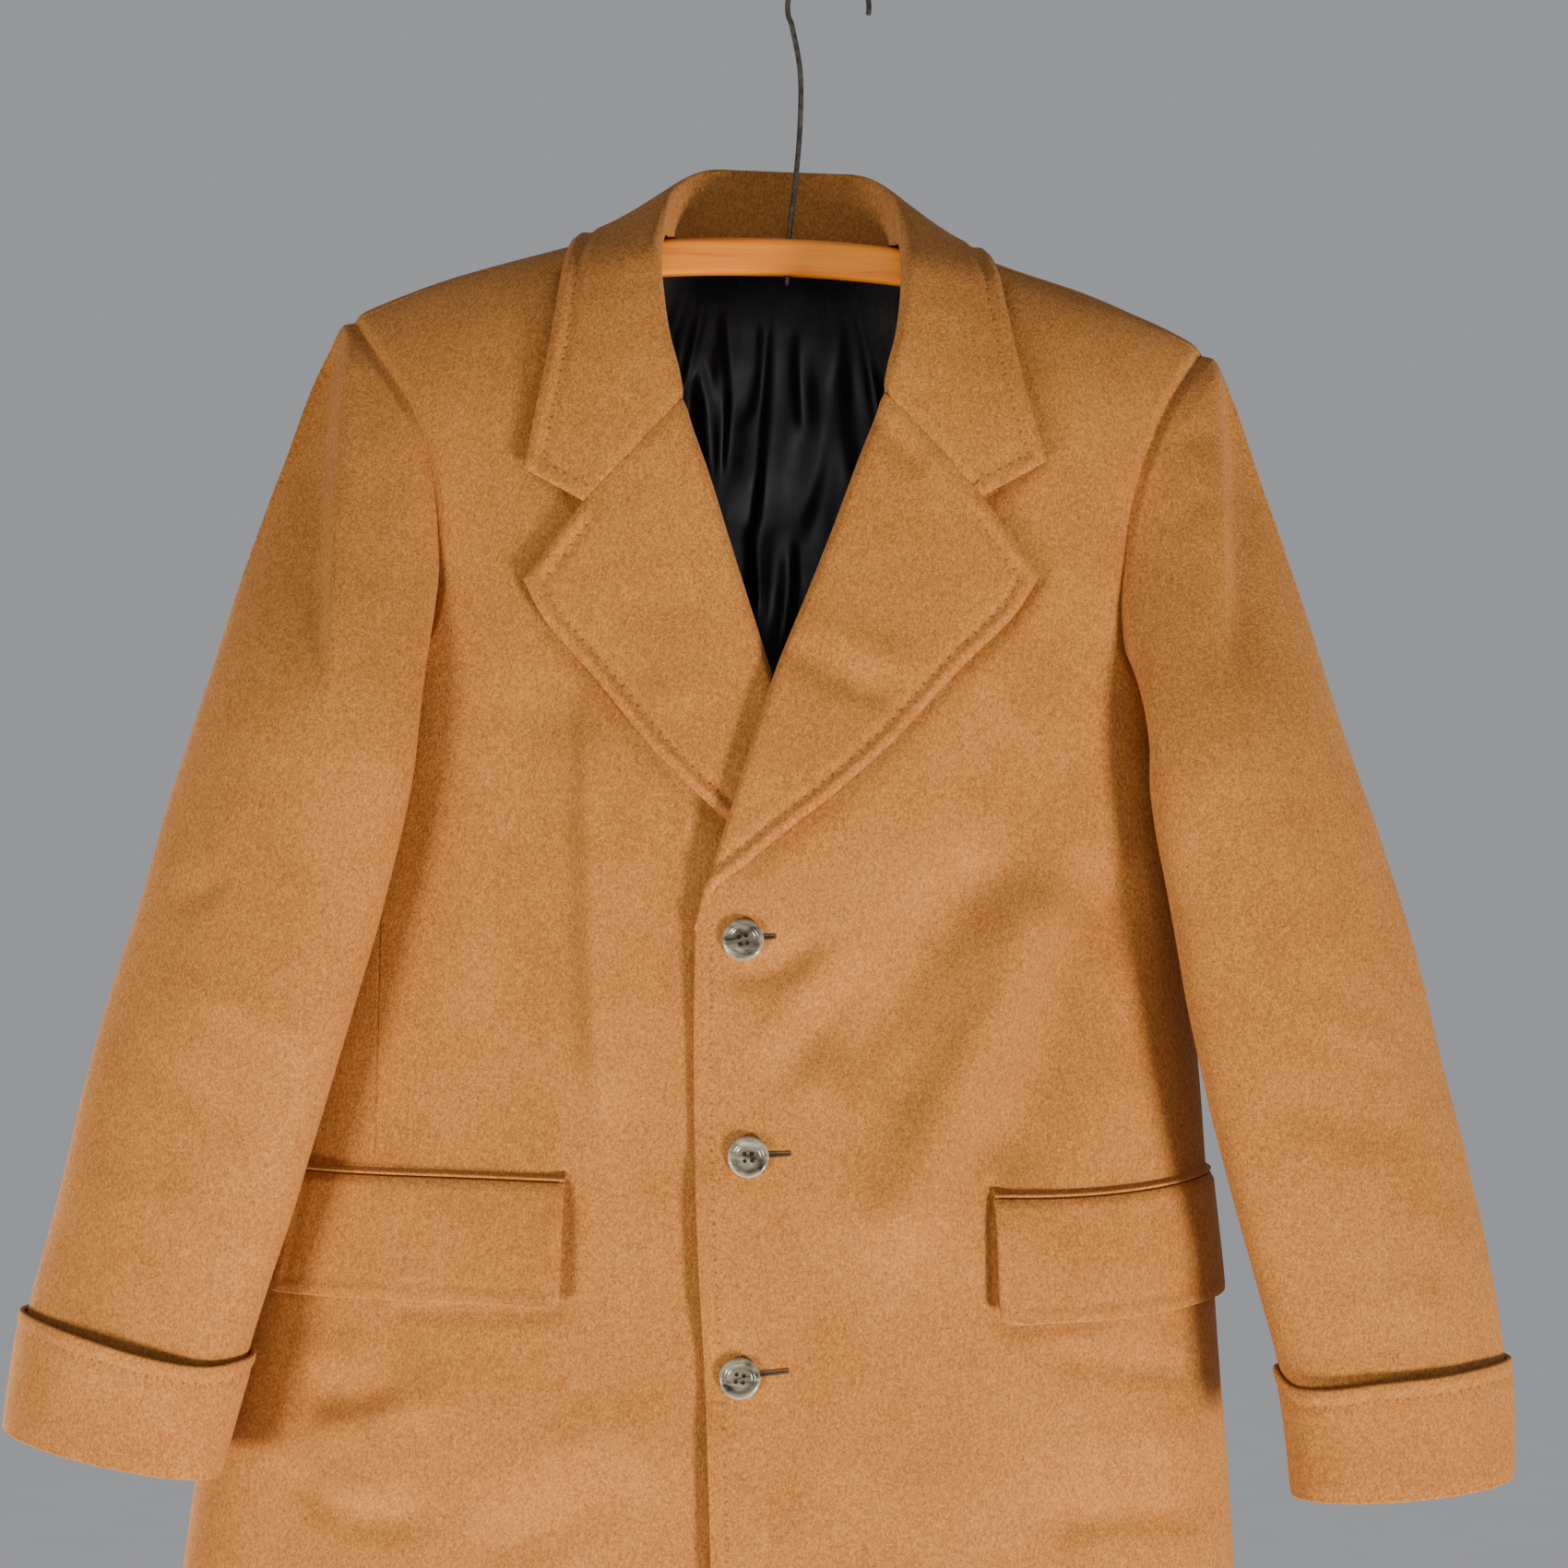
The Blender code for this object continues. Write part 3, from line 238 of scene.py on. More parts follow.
def turnOf(drop):
    drop, arch = np.maximum(drop, 0), bodyForm["arch"]
    rounded = np.degrees(np.arccos(np.clip(1 - drop / arch, -1, 1)))
    return np.where(drop < arch, rounded, 90 + np.degrees(drop / arch - 1))


def faceDepth(reach, z, turn):
    side = sideDepth(z)
    ahead = side - (depthAhead(z) + side) * reach
    behind = side + (depthBehind(z) - side) * reach
    return np.where(turn > 0, ahead, behind) * np.sin(np.radians(np.minimum(np.abs(turn), 90)))


def overShoulder(x, turn):
    z = crest(np.abs(x)) - dropOf(turn)
    ratio = np.clip(np.abs(x - middle(z)) / halfWidth(z), 0, 1)
    flatness = bodyForm["flatness"]
    return xyz(x, faceDepth((1 - ratio**flatness) ** (1 / flatness), z, turn), z)


def roundBody(side, angle, z):
    # 0 is the front, 90 the side seam, 180 the back
    sine, cosine = np.sin(np.radians(angle)), np.cos(np.radians(angle))
    power = 2 / bodyForm["flatness"]
    x = middle(z) + side * halfWidth(z) * np.sign(sine) * np.abs(sine) ** power
    turn = np.where(cosine >= 0, 1, -1) * turnOf(crest(np.abs(x)) - z)
    return xyz(x, faceDepth(np.abs(cosine) ** power, z, turn), z)


def angleAt(side, x, z, facing):
    ratio = np.clip(side * (x - middle(z)) / halfWidth(z), -1, 1)
    angle = np.degrees(np.arcsin(np.sign(ratio) * np.abs(ratio) ** (bodyForm["flatness"] / 2)))
    return angle if facing > 0 else 180 - angle


def outward(points, along, down):
    normals = unit(np.cross(along, down))
    inside = xyz(middle(points[..., 2]), 0.0, points[..., 2] - 60.0)
    return np.where(dots(normals, points - inside) < 0, -normals, normals)


def shoulderNormals(x, turn):
    along = overShoulder(x + 0.5, turn) - overShoulder(x - 0.5, turn)
    down = overShoulder(x, turn + 0.4) - overShoulder(x, turn - 0.4)
    return outward(overShoulder(x, turn), along, down)


def roundNormals(side, angle, z):
    along = roundBody(side, angle + 0.4, z) - roundBody(side, angle - 0.4, z)
    down = roundBody(side, angle, z + 1.0) - roundBody(side, angle, z - 1.0)
    return outward(roundBody(side, angle, z), along, down)


def foldHeight(folds, x, z):
    total = np.zeros(np.broadcast(x, z).shape)
    for x0, z0, x1, z1, wide, height in folds:
        length = (x1 - x0) ** 2 + (z1 - z0) ** 2
        along = np.clip(((x - x0) * (x1 - x0) + (z - z0) * (z1 - z0)) / length, 0, 1)
        away = np.hypot(x - x0 - along * (x1 - x0), z - z0 - along * (z1 - z0))
        total = total + height * bell(away, wide)
    return total


def creaseHeight(creases, x, z):
    # each crease bends once and dies away at both ends; its two flanks differ
    x, z = np.broadcast_arrays(np.asarray(x, float), np.asarray(z, float))
    total = np.zeros(x.shape)
    share = np.linspace(0, 1, creaseSteps)
    for x0, z0, x1, z1, x2, z2, wideOne, wideTwo, height in creases:
        pathX, pathZ = (
            start * (1 - share) ** 2 + 2 * bend * share * (1 - share) + end * share**2
            for start, bend, end in ((x0, x1, x2), (z0, z1, z2)))
        best, where, signed = np.full(x.shape, 1e9), np.zeros(x.shape), np.zeros(x.shape)
        for i, (stepX, stepZ) in enumerate(zip(np.diff(pathX), np.diff(pathZ))):
            awayX, awayZ = x - pathX[i], z - pathZ[i]
            along = np.clip((awayX * stepX + awayZ * stepZ) / (stepX**2 + stepZ**2), 0, 1)
            offX, offZ = awayX - along * stepX, awayZ - along * stepZ
            away = np.hypot(offX, offZ)
            nearer = away < best
            best = np.where(nearer, away, best)
            where = np.where(nearer, (i + along) / (creaseSteps - 1), where)
            signed = np.where(nearer, stepX * offZ - stepZ * offX, signed)
        fade = ease(where / creaseFade) * ease((1 - where) / creaseFade)
        total += height * fade * bell(best, np.where(signed < 0, wideOne, wideTwo))
    return total


def hungWaver(x, z, y=0.0):
    # long shallow swells, none of them regular
    total = 0.0
    for height, longX, swing, swingZ, swingFrom, longY, longZ, bend, bendX, bendFrom in swells:
        one = np.sin(x / longX + swing * np.sin(z / swingZ + swingFrom) + y / longY)
        other = np.sin(z / longZ + bend * np.sin(x / bendX + bendFrom))
        total = total + height * (one * other)
    return total


def shaped(form, side, x, z):
    return foldHeight(form["folds"][side], x, z) + creaseHeight(form["creases"][side], x, z)


def frontRelief(side, x, z):
    form = frontForm
    if side == left:
        lap = lapLift(z) * ease((form["lapNone"] - x) / (form["lapNone"] - form["lapFull"]))
    else:
        lap = -form["underSink"] * ease((x + form["lapFull"]) / form["lapFull"])
    return lap + shaped(form, side, x, z) + hungWaver(x + form["waverFrom"], z)


def backRelief(side, x, z):
    return shaped(backForm, side, x, z) + hungWaver(x + backForm["waverFrom"], z)


def frontNormals(x, z):
    return shoulderNormals(x, turnOf(crest(np.abs(x)) - z))


def raised(points, normals, height):
    return points + normals * np.asarray(height)[..., None]


def onFront(side, x, z, out):
    turn = turnOf(crest(np.abs(x)) - z)
    return raised(overShoulder(x, turn), shoulderNormals(x, turn), out + frontRelief(side, x, z))


def leaning(side, out, z):
    return side * out + leanAcross(z), z + side * leanUp(z)


def rimAcross(side, z):
    rollX = side * (rollOut(z - side * leanUp(z)) + frontForm["behindRoll"]) + leanAcross(z)
    below = ease((rollEnd + frontForm["breakAbove"] - z) / frontForm["breakRun"])
    return rollX * (1 - below) + side * edgeOut(z) * below


# Finishes

def feed(tree, node, values):
    # a socket as value is linked, anything else is set
    for name, value in dict(values).items():
        if isinstance(value, bpy.types.NodeSocket):
            tree.links.new(value, node.inputs[name])
        else:
            node.inputs[name].default_value = value


def addNode(tree, kind, values=(), **settings):
    node = tree.nodes.new("ShaderNode" + kind)
    for name, value in settings.items():
        setattr(node, name, value)
    feed(tree, node, values)
    return node


def maths(tree, operation, *values):
    return addNode(tree, "Math", enumerate(values), operation=operation).outputs[0]


def objectPlace(tree, **lie):
    place = addNode(tree, "TexCoord").outputs["Object"]
    return addNode(tree, "Mapping", {"Vector": place, **lie}).outputs["Vector"] if lie else place


def noise(tree, where, scale, detail, **more):
    made = addNode(tree, "TexNoise", {"Vector": where, "Scale": scale, "Detail": detail, **more})
    return made.outputs["Fac"]


def mapped(tree, value, low, high, toLow, toHigh, kind="LINEAR"):
    values = {"Value": value, "From Min": low, "From Max": high, "To Min": toLow, "To Max": toHigh}
    return addNode(tree, "MapRange", values, interpolation_type=kind).outputs["Result"]


def attribute(tree, name):
    return addNode(tree, "Attribute", attribute_name=name).outputs["Fac"]


def bumped(tree, height, strength, distance):
    values = {"Height": height, "Strength": strength, "Distance": distance}
    return addNode(tree, "Bump", values).outputs["Normal"]


def blendTones(tree, share, stops):
    ramp = addNode(tree, "ValToRGB", {"Fac": share})
    elements = ramp.color_ramp.elements
    for element, (position, colour) in zip(elements, (stops[0], stops[-1])):
        element.position, element.color = position, (*colour, 1)
    for position, colour in stops[1:-1]:
        elements.new(position).color = (*colour, 1)
    return ramp.outputs["Color"]


def makeGrainGroup():
    # fine unevenness all over a surface, for thread, wire and floor
    group = bpy.data.node_groups.new("fineGrain", "ShaderNodeTree")
    for name in ("Scale", "Detail"):
        group.interface.new_socket(name, in_out="INPUT", socket_type="NodeSocketFloat")
    group.interface.new_socket("Grain", in_out="OUTPUT", socket_type="NodeSocketFloat")
    given, out = group.nodes.new("NodeGroupInput").outputs, group.nodes.new("NodeGroupOutput")
    feed(group, out, {"Grain": noise(group, objectPlace(group), given["Scale"], given["Detail"])})
    return group


def fineGrain(tree, scale, detail):
    values = {"Scale": scale, "Detail": detail}
    return addNode(tree, "Group", node_tree=grainGroup, values=values).outputs["Grain"]


def newFinish(name, values):
    finish = bpy.data.materials.new(name)
    finish.use_nodes = True
    shader = finish.node_tree.nodes["Principled BSDF"]
    feed(finish.node_tree, shader, values)
    return finish, finish.node_tree, shader


clothFinish = {
    "tones": ((0.43, (0.265, 0.092, 0.019)), (0.555, (0.415, 0.160, 0.034)), (0.68, (0.565, 0.252, 0.064))),
    "fibreScale": 1150.0, "fibreLie": (1.0, 1.0, 0.7), "tuftSize": 0.45, "cloudScale": 16.0,
    "fibreShare": 0.62, "tuftShare": 0.34, "cloudShare": 0.15, "tuftRise": 0.5,
    "bump": 0.6, "bumpDepth": 0.0008,
    "stitchIn": 0.0095, "stitchWide": 0.0014, "stitchStep": 0.0068, "stitchShort": 4.6, "stitchSoft": 0.2,
    # width of the dart line, and the tone of the painted shade in the stitch dimples and along the dart line
    "dartWide": (0.00025, 0.0011), "dimpleShadeTone": (0.76, 0.72, 0.68, 1),
    "shader": {"Roughness": 0.92, "Sheen Weight": 0.12, "Sheen Roughness": 0.45,
               "Sheen Tint": (1.0, 0.80, 0.55, 1), "Specular IOR Level": 0.2},
}


def makeCloth(form):
    finish, tree, shader = newFinish("coatCloth", form["shader"])
    # short felted fibres lying mostly down the cloth, with soft cloudy patches
    lying, scale = objectPlace(tree, Scale=form["fibreLie"]), form["fibreScale"]
    fibre = noise(tree, lying, scale, 3.0, Roughness=0.65, Distortion=0.3)
    tuft = noise(tree, lying, scale * form["tuftSize"], 2.0, Roughness=0.6)
    cloud = noise(tree, objectPlace(tree), form["cloudScale"], 4.0, Roughness=0.6)
    share = maths(tree, "MULTIPLY", fibre, form["fibreShare"])
    share = maths(tree, "MULTIPLY_ADD", tuft, form["tuftShare"], share)
    share = maths(tree, "MULTIPLY_ADD", cloud, form["cloudShare"], share)
    nap = maths(tree, "MULTIPLY_ADD", tuft, form["tuftRise"], fibre)
    # dimples of the picked edge: how far in from the border, and how far along it; they are dented in the
    # bump and darkened with painted shade
    row = maths(tree, "SUBTRACT", attribute(tree, "fromEdge"), form["stitchIn"])
    row = maths(tree, "DIVIDE", row, form["stitchWide"])
    step = maths(tree, "FRACT", maths(tree, "DIVIDE", attribute(tree, "alongEdge"), form["stitchStep"]))
    step = maths(tree, "MULTIPLY", maths(tree, "SUBTRACT", step, 0.5), form["stitchShort"])
    spot = addNode(tree, "CombineXYZ", {"X": row, "Y": step}).outputs["Vector"]
    reach = addNode(tree, "VectorMath", {0: spot}, operation="LENGTH").outputs["Value"]
    dot = mapped(tree, reach, form["stitchSoft"], 1.0, 1.0, 0.0, "SMOOTHSTEP")
    dart = maths(tree, "ABSOLUTE", attribute(tree, "dartAway"))
    dart = mapped(tree, dart, *form["dartWide"], 1.0, 0.0, "SMOOTHSTEP")
    sunk = maths(tree, "MAXIMUM", dot, maths(tree, "MULTIPLY", dart, attribute(tree, "dartOn")))
    # painted shade: the colour is multiplied darker in the stitch dimples and along the dart line
    tones = {"Factor": sunk, "A": blendTones(tree, share, form["tones"]), "B": form["dimpleShadeTone"]}
    height = maths(tree, "MULTIPLY_ADD", sunk, -1.0, nap)
    feed(tree, shader, {
        "Base Color": addNode(tree, "Mix", tones, data_type="RGBA", blend_type="MULTIPLY").outputs["Result"],
        "Normal": bumped(tree, height, form["bump"], form["bumpDepth"])})
    return finish


satinFinish = {
    "tones": ((0.3, (0.0016, 0.0016, 0.002)), (0.75, (0.015, 0.015, 0.019))), "warpScale": 900.0,
    "warpLie": (1.0, 1.0, 0.03), "cloudScale": 26.0, "roughness": (0.25, 0.52), "dull": (-0.235, -0.18),
}


def makeSatin(form):
    finish, tree, shader = newFinish("liningSatin", {"Specular IOR Level": 0.6})
    place = objectPlace(tree)
    threads = noise(tree, objectPlace(tree, Scale=form["warpLie"]), form["warpScale"], 2.0)
    uneven = mapped(tree, noise(tree, place, form["cloudScale"], 4.0), 0.3, 0.7, *form["roughness"])
    # duller towards the neck
    height = addNode(tree, "SeparateXYZ", {"Vector": place}).outputs["Z"]
    dull = mapped(tree, height, *form["dull"], 0.0, 0.5)
    feed(tree, shader, {
        "Roughness": maths(tree, "ADD", uneven, dull), "Base Color": blendTones(tree, threads, form["tones"]),
        "Normal": bumped(tree, threads, 0.12, 0.0002)})
    return finish


woodFinish = {
    "tones": ((0.36, (0.56, 0.125, 0.003)), (0.5, (0.93, 0.235, 0.003)), (0.66, (1.0, 0.340, 0.008))),
    "lie": (0.045, 1.0, 1.0), "grainScale": 420.0, "ringScale": 95.0,
    "shader": {"Roughness": 0.42, "Coat Weight": 0.12, "Coat Roughness": 0.2},
}


def makeWood(form):
    finish, tree, shader = newFinish("hangerWood", form["shader"])
    lying = objectPlace(tree, Scale=form["lie"])
    grain = noise(tree, lying, form["grainScale"], 5.0, Roughness=0.6, Distortion=0.6)
    rings = noise(tree, lying, form["ringScale"], 2.0)
    both = maths(tree, "MULTIPLY_ADD", rings, 0.55, maths(tree, "MULTIPLY", grain, 0.5))
    feed(tree, shader, {"Base Color": blendTones(tree, both, form["tones"]),
                        "Normal": bumped(tree, grain, 0.1, 0.0003)})
    return finish


hornFinish = {
    "tones": ((0.36, (0.020, 0.016, 0.011)), (0.52, (0.150, 0.130, 0.092)), (0.78, (0.400, 0.370, 0.290))),
    "lie": {"Rotation": (0.0, 0.5, 0.0), "Scale": (0.55, 1.0, 1.6)}, "cloudScale": 90.0, "rim": (0.80, 0.97),
    "shader": {"Roughness": 0.22, "Coat Weight": 0.6, "Coat Roughness": 0.12},
}


def makeHorn(form):
    finish, tree, shader = newFinish("buttonHorn", form["shader"])
    clouds = noise(tree, objectPlace(tree, **form["lie"]), form["cloudScale"], 4.0, Distortion=1.2)
    rim = mapped(tree, attribute(tree, "fromCentre"), *form["rim"], 0.0, 0.22)
    total = maths(tree, "ADD", clouds, rim)
    feed(tree, shader, {"Base Color": blendTones(tree, total, form["tones"])})
    return finish


wireFinish = {"tones": ((0.35, (0.055, 0.048, 0.042)), (0.7, (0.16, 0.14, 0.125))), "scale": 240.0}
threadFinish = {
    "scale": 2600.0,
    "pickThread": ((0.35, (0.22, 0.088, 0.024)), (0.7, (0.36, 0.16, 0.048))),
    "holeThread": ((0.35, (0.055, 0.026, 0.010)), (0.7, (0.16, 0.080, 0.030))),
    # near-black: button thread, and also the painted shade of the buttonhole openings and button holes
    "darkThreadAndShade": ((0.35, (0.006, 0.004, 0.003)), (0.7, (0.030, 0.018, 0.010))),
}


def makeWire(form):
    finish, tree, shader = newFinish("hookWire", {"Metallic": 0.85})
    wear = fineGrain(tree, form["scale"], 4.0)
    feed(tree, shader, {
        "Roughness": mapped(tree, wear, 0.0, 1.0, 0.28, 0.52),
        "Base Color": blendTones(tree, wear, form["tones"]),
        "Normal": bumped(tree, wear, 0.08, 0.0002)})
    return finish


def makeThread(name):
    finish, tree, shader = newFinish(name, {"Roughness": 0.8})
    strands = fineGrain(tree, threadFinish["scale"], 2.0)
    feed(tree, shader, {"Base Color": blendTones(tree, strands, threadFinish[name]),
                        "Normal": bumped(tree, strands, 0.3, 0.0002)})
    return finish


grainGroup = makeGrainGroup()
clothMaterial, satinMaterial = makeCloth(clothFinish), makeSatin(satinFinish)
woodMaterial, hornMaterial, wireMaterial = makeWood(woodFinish), makeHorn(hornFinish), makeWire(wireFinish)
pickThread, holeThread, darkThreadAndShade = (makeThread(name) for name in ("pickThread", "holeThread", "darkThreadAndShade"))
print("finishes made")


# Making pieces

def toScene(points):
    return (points + coatShift) * mm


def names(word, side, part=""):
    # a piece's name and that of the solid it stands for
    node = f"{word}_{sideWord[side].lower()}" + (f"_{part}" if part else "")
    return word + sideWord[side] + part.capitalize(), node


def addObject(name, data):
    made = bpy.data.objects.new(name, data)
    bpy.context.scene.collection.objects.link(made)
    return made


def linkPiece(name, mesh, finish, slot, *nodes):
    piece = addObject(name, mesh)
    mesh.materials.append(finish)
    if nodes:
        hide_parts(*nodes)
    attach(piece, "root")
    return piece


def meshOf(name, shape, smooth=True):
    mesh = bpy.data.meshes.new(name)
    shape.to_mesh(mesh)
    shape.free()
    if smooth:
        mesh.shade_smooth()
    return mesh


def setValues(mesh, label, values):
    mesh.attributes.new(label, "FLOAT", "POINT").data.foreach_set("value", values.reshape(-1))


def markEdge(mesh, edge):
    for label, values in zip(("fromEdge", "alongEdge"), edge):
        setValues(mesh, label, values * mm)


def gridOn(points, normals, around=False):
    # a flat grid carried on to the cloth, its faces turned outwards
    rows, columns = points.shape[:2]
    shape = bmesh.new()
    bmesh.ops.create_grid(shape, x_segments=columns - 1, y_segments=rows - 1, size=0.5)
    for vert, place in zip(shape.verts, toScene(points.reshape(-1, 3))):
        vert.co = place
    shape.normal_update()
    facing = sum(vert.normal.dot(Vector(way)) for vert, way in zip(shape.verts, normals.reshape(-1, 3)))
    if facing < 0:
        bmesh.ops.reverse_faces(shape, faces=shape.faces)
    if around:
        bmesh.ops.remove_doubles(shape, verts=shape.verts, dist=0.001 * mm)
    return shape


def sheetNormals(points, towards, around=False):
    if around:
        joined = np.concatenate([points[:, -2:-1], points, points[:, 1:2]], axis=1)
        along = np.gradient(joined, axis=1)[:, 1:-1]
    else:
        along = np.gradient(points, axis=1)
    normals = unit(np.cross(along, np.gradient(points, axis=0)))
    return normals if np.sum(normals * towards) > 0 else -normals


def fromMiddle(points):
    return points - points.mean(axis=1, keepdims=True)


def finishCloth(piece, wall, rounding):
    thick = piece.modifiers.new("wall", "SOLIDIFY")
    thick.thickness, thick.offset = wall * mm, -1.0
    soften = piece.modifiers.new("turned edge", "BEVEL")
    soften.limit_method, soften.angle_limit = "ANGLE", math.radians(55)
    soften.width, soften.segments, soften.profile, soften.material = rounding * mm, 3, 0.5, -1


def layCloth(name, node, points, normals, wall, edge=(), rounding=1.1, around=False):
    mesh = meshOf(name, gridOn(points, normals, around))
    markEdge(mesh, edge)
    piece = linkPiece(name, mesh, clothMaterial, "coat_cloth", node)
    finishCloth(piece, wall, rounding)
    return piece


def fineLine(line, step=1.0):
    run = runAlong(line)
    marks = np.linspace(0, run[-1], max(2, int(run[-1] / step)))
    return np.stack([np.interp(marks, run, line[:, i]) for i in range(3)], axis=1), marks


def besideEdge(points, border, atOnce=2000):
    # distance of each point from the border, and how far along the border it lies
    line, marks = fineLine(border)
    flat = points.reshape(-1, 3)
    away, along = np.empty(len(flat)), np.empty(len(flat))
    for some in np.array_split(np.arange(len(flat)), 1 + len(flat) // atOnce):
        gaps = np.linalg.norm(flat[some, None] - line[None], axis=2)
        nearest = gaps.argmin(axis=1)
        away[some], along[some] = gaps[np.arange(len(some)), nearest], marks[nearest]
    return away.reshape(points.shape[:2]), along.reshape(points.shape[:2])


# how a padded edge rises, dips at its stitching and levels off
turnedEdge = smoothThrough((0, 4.5, 9.5, 14, 20), (-0.25, 0.65, -0.5, 0.05, 0.0))


def padEdge(points, normals, border, amount=1.0):
    edge = besideEdge(points, border)
    return raised(points, normals, amount * turnedEdge(edge[0])), edge


seamRoll = {
    "deep": 3.0, "wide": 6.5, "lip": 4.4, "from": -392.0, "fade": 36.0, "sewnDeep": 1.0, "sewnWide": 3.4,
}


def sinkSeam(points, normals, line, share=1.0):
    beside, _ = besideEdge(points, line)
    return raised(points, normals, -(share * seamRoll["sewnDeep"] * bell(beside, seamRoll["sewnWide"])))


def addBead(shape, spot, axes, sizes, around):
    # a small rounded lump of thread, sizes in half widths
    turn = Matrix([Vector(way) for way in axes]).transposed().to_4x4()
    size = Matrix.Diagonal((*(half * mm for half in sizes), 1))
    bmesh.ops.create_uvsphere(shape, u_segments=around, v_segments=5, radius=1.0,
                              matrix=Matrix.Translation(spot) @ turn @ size)


# half sizes of one pick, step along the border, distance inside it
stitchForm = {"sizes": (0.65, 0.25, 0.25), "step": 6.8, "inside": 9.5, "sunk": 0.1}


def pickStitches(name, piece, border):
    # one small pick of thread at each step, laid on the cloth inside its border
    form, facing = stitchForm, Vector(towardsFront)
    tree = BVHTree.FromObject(piece, bpy.context.evaluated_depsgraph_get())
    line, marks = fineLine(border)
    picks = bmesh.new()
    for mark in np.arange(form["step"] / 2, marks[-1], form["step"]):
        i = int(np.clip(np.searchsorted(marks, mark), 2, len(marks) - 3))
        here, along = Vector(toScene(line[i])), Vector(unit(line[i + 2] - line[i - 2]))
        way = along.cross(facing).normalized() * form["inside"] * mm
        # beyond the border the nearest cloth is the border itself, so the farther hit lies inside
        hits = [tree.find_nearest(here + step)[:2] for step in (way, -way)]
        spot, up = max(hits, key=lambda hit: (hit[0] - here).length)
        if up.dot(facing) >= 0:
            along = (along - up * along.dot(up)).normalized()
            addBead(picks, spot - up * form["sunk"] * mm, (along, up.cross(along), up), form["sizes"], 6)
    linkPiece(name, meshOf(name, picks), pickThread, "coat_cloth")


# Body panels

panelForm = {
    "frontColumns": spaced((0.05, 8), (1.0, 100)), "backColumns": spaced((1.0, 64)),
    "frontYoke": 24, "backYoke": 30, "upper": 48, "lower": 165, "underarmLevel": 0.156, "yokePower": 1.15,
    "shoulderOut": 249.0, "leanFrom": -225.0, "leanRun": 60.0, "swingFrom": -330.0, "swingRun": 230.0,
    "narrowest": -378.0, "followFrom": 0.55, "yokeEnds": 0.09, "edgeBelow": 12.0,
    # dartOn is the strength of the dart line, a dent in the bump darkened with painted shade
    "dartOn": 0.6, "dartFade": 8.0,
}


def neckTurnAt(x):
    square = bodyForm["neckSquare"]
    inside = np.clip(1 - (np.abs(x) / bodyForm["neckHalf"]) ** square, 0, 1) ** (1 / square)
    return bodyForm["shoulderSeam"] - (bodyForm["shoulderSeam"] - bodyForm["neckTurn"]) * inside


def topTurn(face, x):
    half = bodyForm["seam"] / 2
    if face == "front":
        return np.full(np.shape(x), bodyForm["shoulderSeam"] + half)
    return neckTurnAt(x) - half


def innerAcross(side, face, z):
    return rimAcross(side, z) if face == "front" else side * bodyForm["seam"] / 2


def armholeAcross(side, face, z):
    if face == "front":
        share = ease((panelForm["leanFrom"] - z) / panelForm["leanRun"])
        return side * armholeFront(z) + leanAcross(z) * share
    return side * armholeBack(z)


def yokeRow(side, face, share, columns, tries=8):
    full = 90.0 if face == "front" else -90.0
    inner = bodyForm["neckHalf"] if face == "front" else bodyForm["seam"] / 2
    ends = [side * inner, side * panelForm["shoulderOut"]]
    for _ in range(tries):
        for i, edgeAcross in enumerate((innerAcross, armholeAcross)):
            start = float(topTurn(face, np.float64(ends[i])))
            z = crest(abs(ends[i])) - dropOf(start + (full - start) * share)
            ends[i] = float(edgeAcross(side, face, z))
    x = ends[0] + (ends[1] - ends[0]) * columns
    start = topTurn(face, x)
    return x, start + (full - start) * share


def skirtRow(side, face, level, yokeX, yokeHeights, columns):
    form, facing = panelForm, 1 if face == "front" else -1
    z = yokeHeights + (bodyForm["hem"] - yokeHeights) * level
    first = angleAt(side, innerAcross(side, face, z[0]), z[0], facing)
    last = sideSeam = 90.0 - bodyForm["seam"] / 6 * facing
    if z[-1] > bodyForm["underarm"] + 1:
        last = angleAt(side, armholeAcross(side, face, z[-1]), z[-1], facing)
    # most columns swing slowly out to the side seam, and the last ones follow the armhole
    swing = ease((form["swingFrom"] - z[-1]) / form["swingRun"])
    narrow = angleAt(side, armholeAcross(side, face, max(z[-1], form["narrowest"])), z[-1], facing)
    slow = narrow + (sideSeam - narrow) * swing
    follow = ease((columns - form["followFrom"]) / (1 - form["followFrom"]))
    even = first + (slow - first) * columns + (last - slow) * follow
    yoke = angleAt(side, yokeX, z, facing)
    yoke = first + (yoke - yoke[0]) * (last - first) / (yoke[-1] - yoke[0])
    return yoke + (even - yoke) * ease(level / form["yokeEnds"]), z


def panelSurface(side, face):
    form, columns = panelForm, panelForm[face + "Columns"]
    points, normals = [], []
    for share in np.linspace(0, 1, form[face + "Yoke"]) ** form["yokePower"]:
        x, turn = yokeRow(side, face, share, columns)
        points.append(overShoulder(x, turn))
        normals.append(shoulderNormals(x, turn))
    yokeX, yokeHeights = points[-1][:, 0], points[-1][:, 2]
    level = form["underarmLevel"]
    for share in spaced((level, form["upper"]), (1.0, form["lower"]))[1:]:
        angle, z = skirtRow(side, face, share, yokeX, yokeHeights, columns)
        points.append(roundBody(side, angle, z))
        normals.append(roundNormals(side, angle, z))
    points, normals = np.array(points), np.array(normals)
    relief = frontRelief if face == "front" else backRelief
    return raised(points, normals, relief(side, points[..., 0], points[..., 2])), normals


def pressIn(side, points, normals):
    for deep, wide, spots in (*frontForm["pressed"], frontForm["pocketPressed"][side]):
        out, up = np.array(spots, float).T
        x, z = leaning(side, out, up)
        away, _ = besideEdge(points, onFront(side, x, z, 0.0))
        points = raised(points, normals, -(deep * bell(away, wide)))
    return points
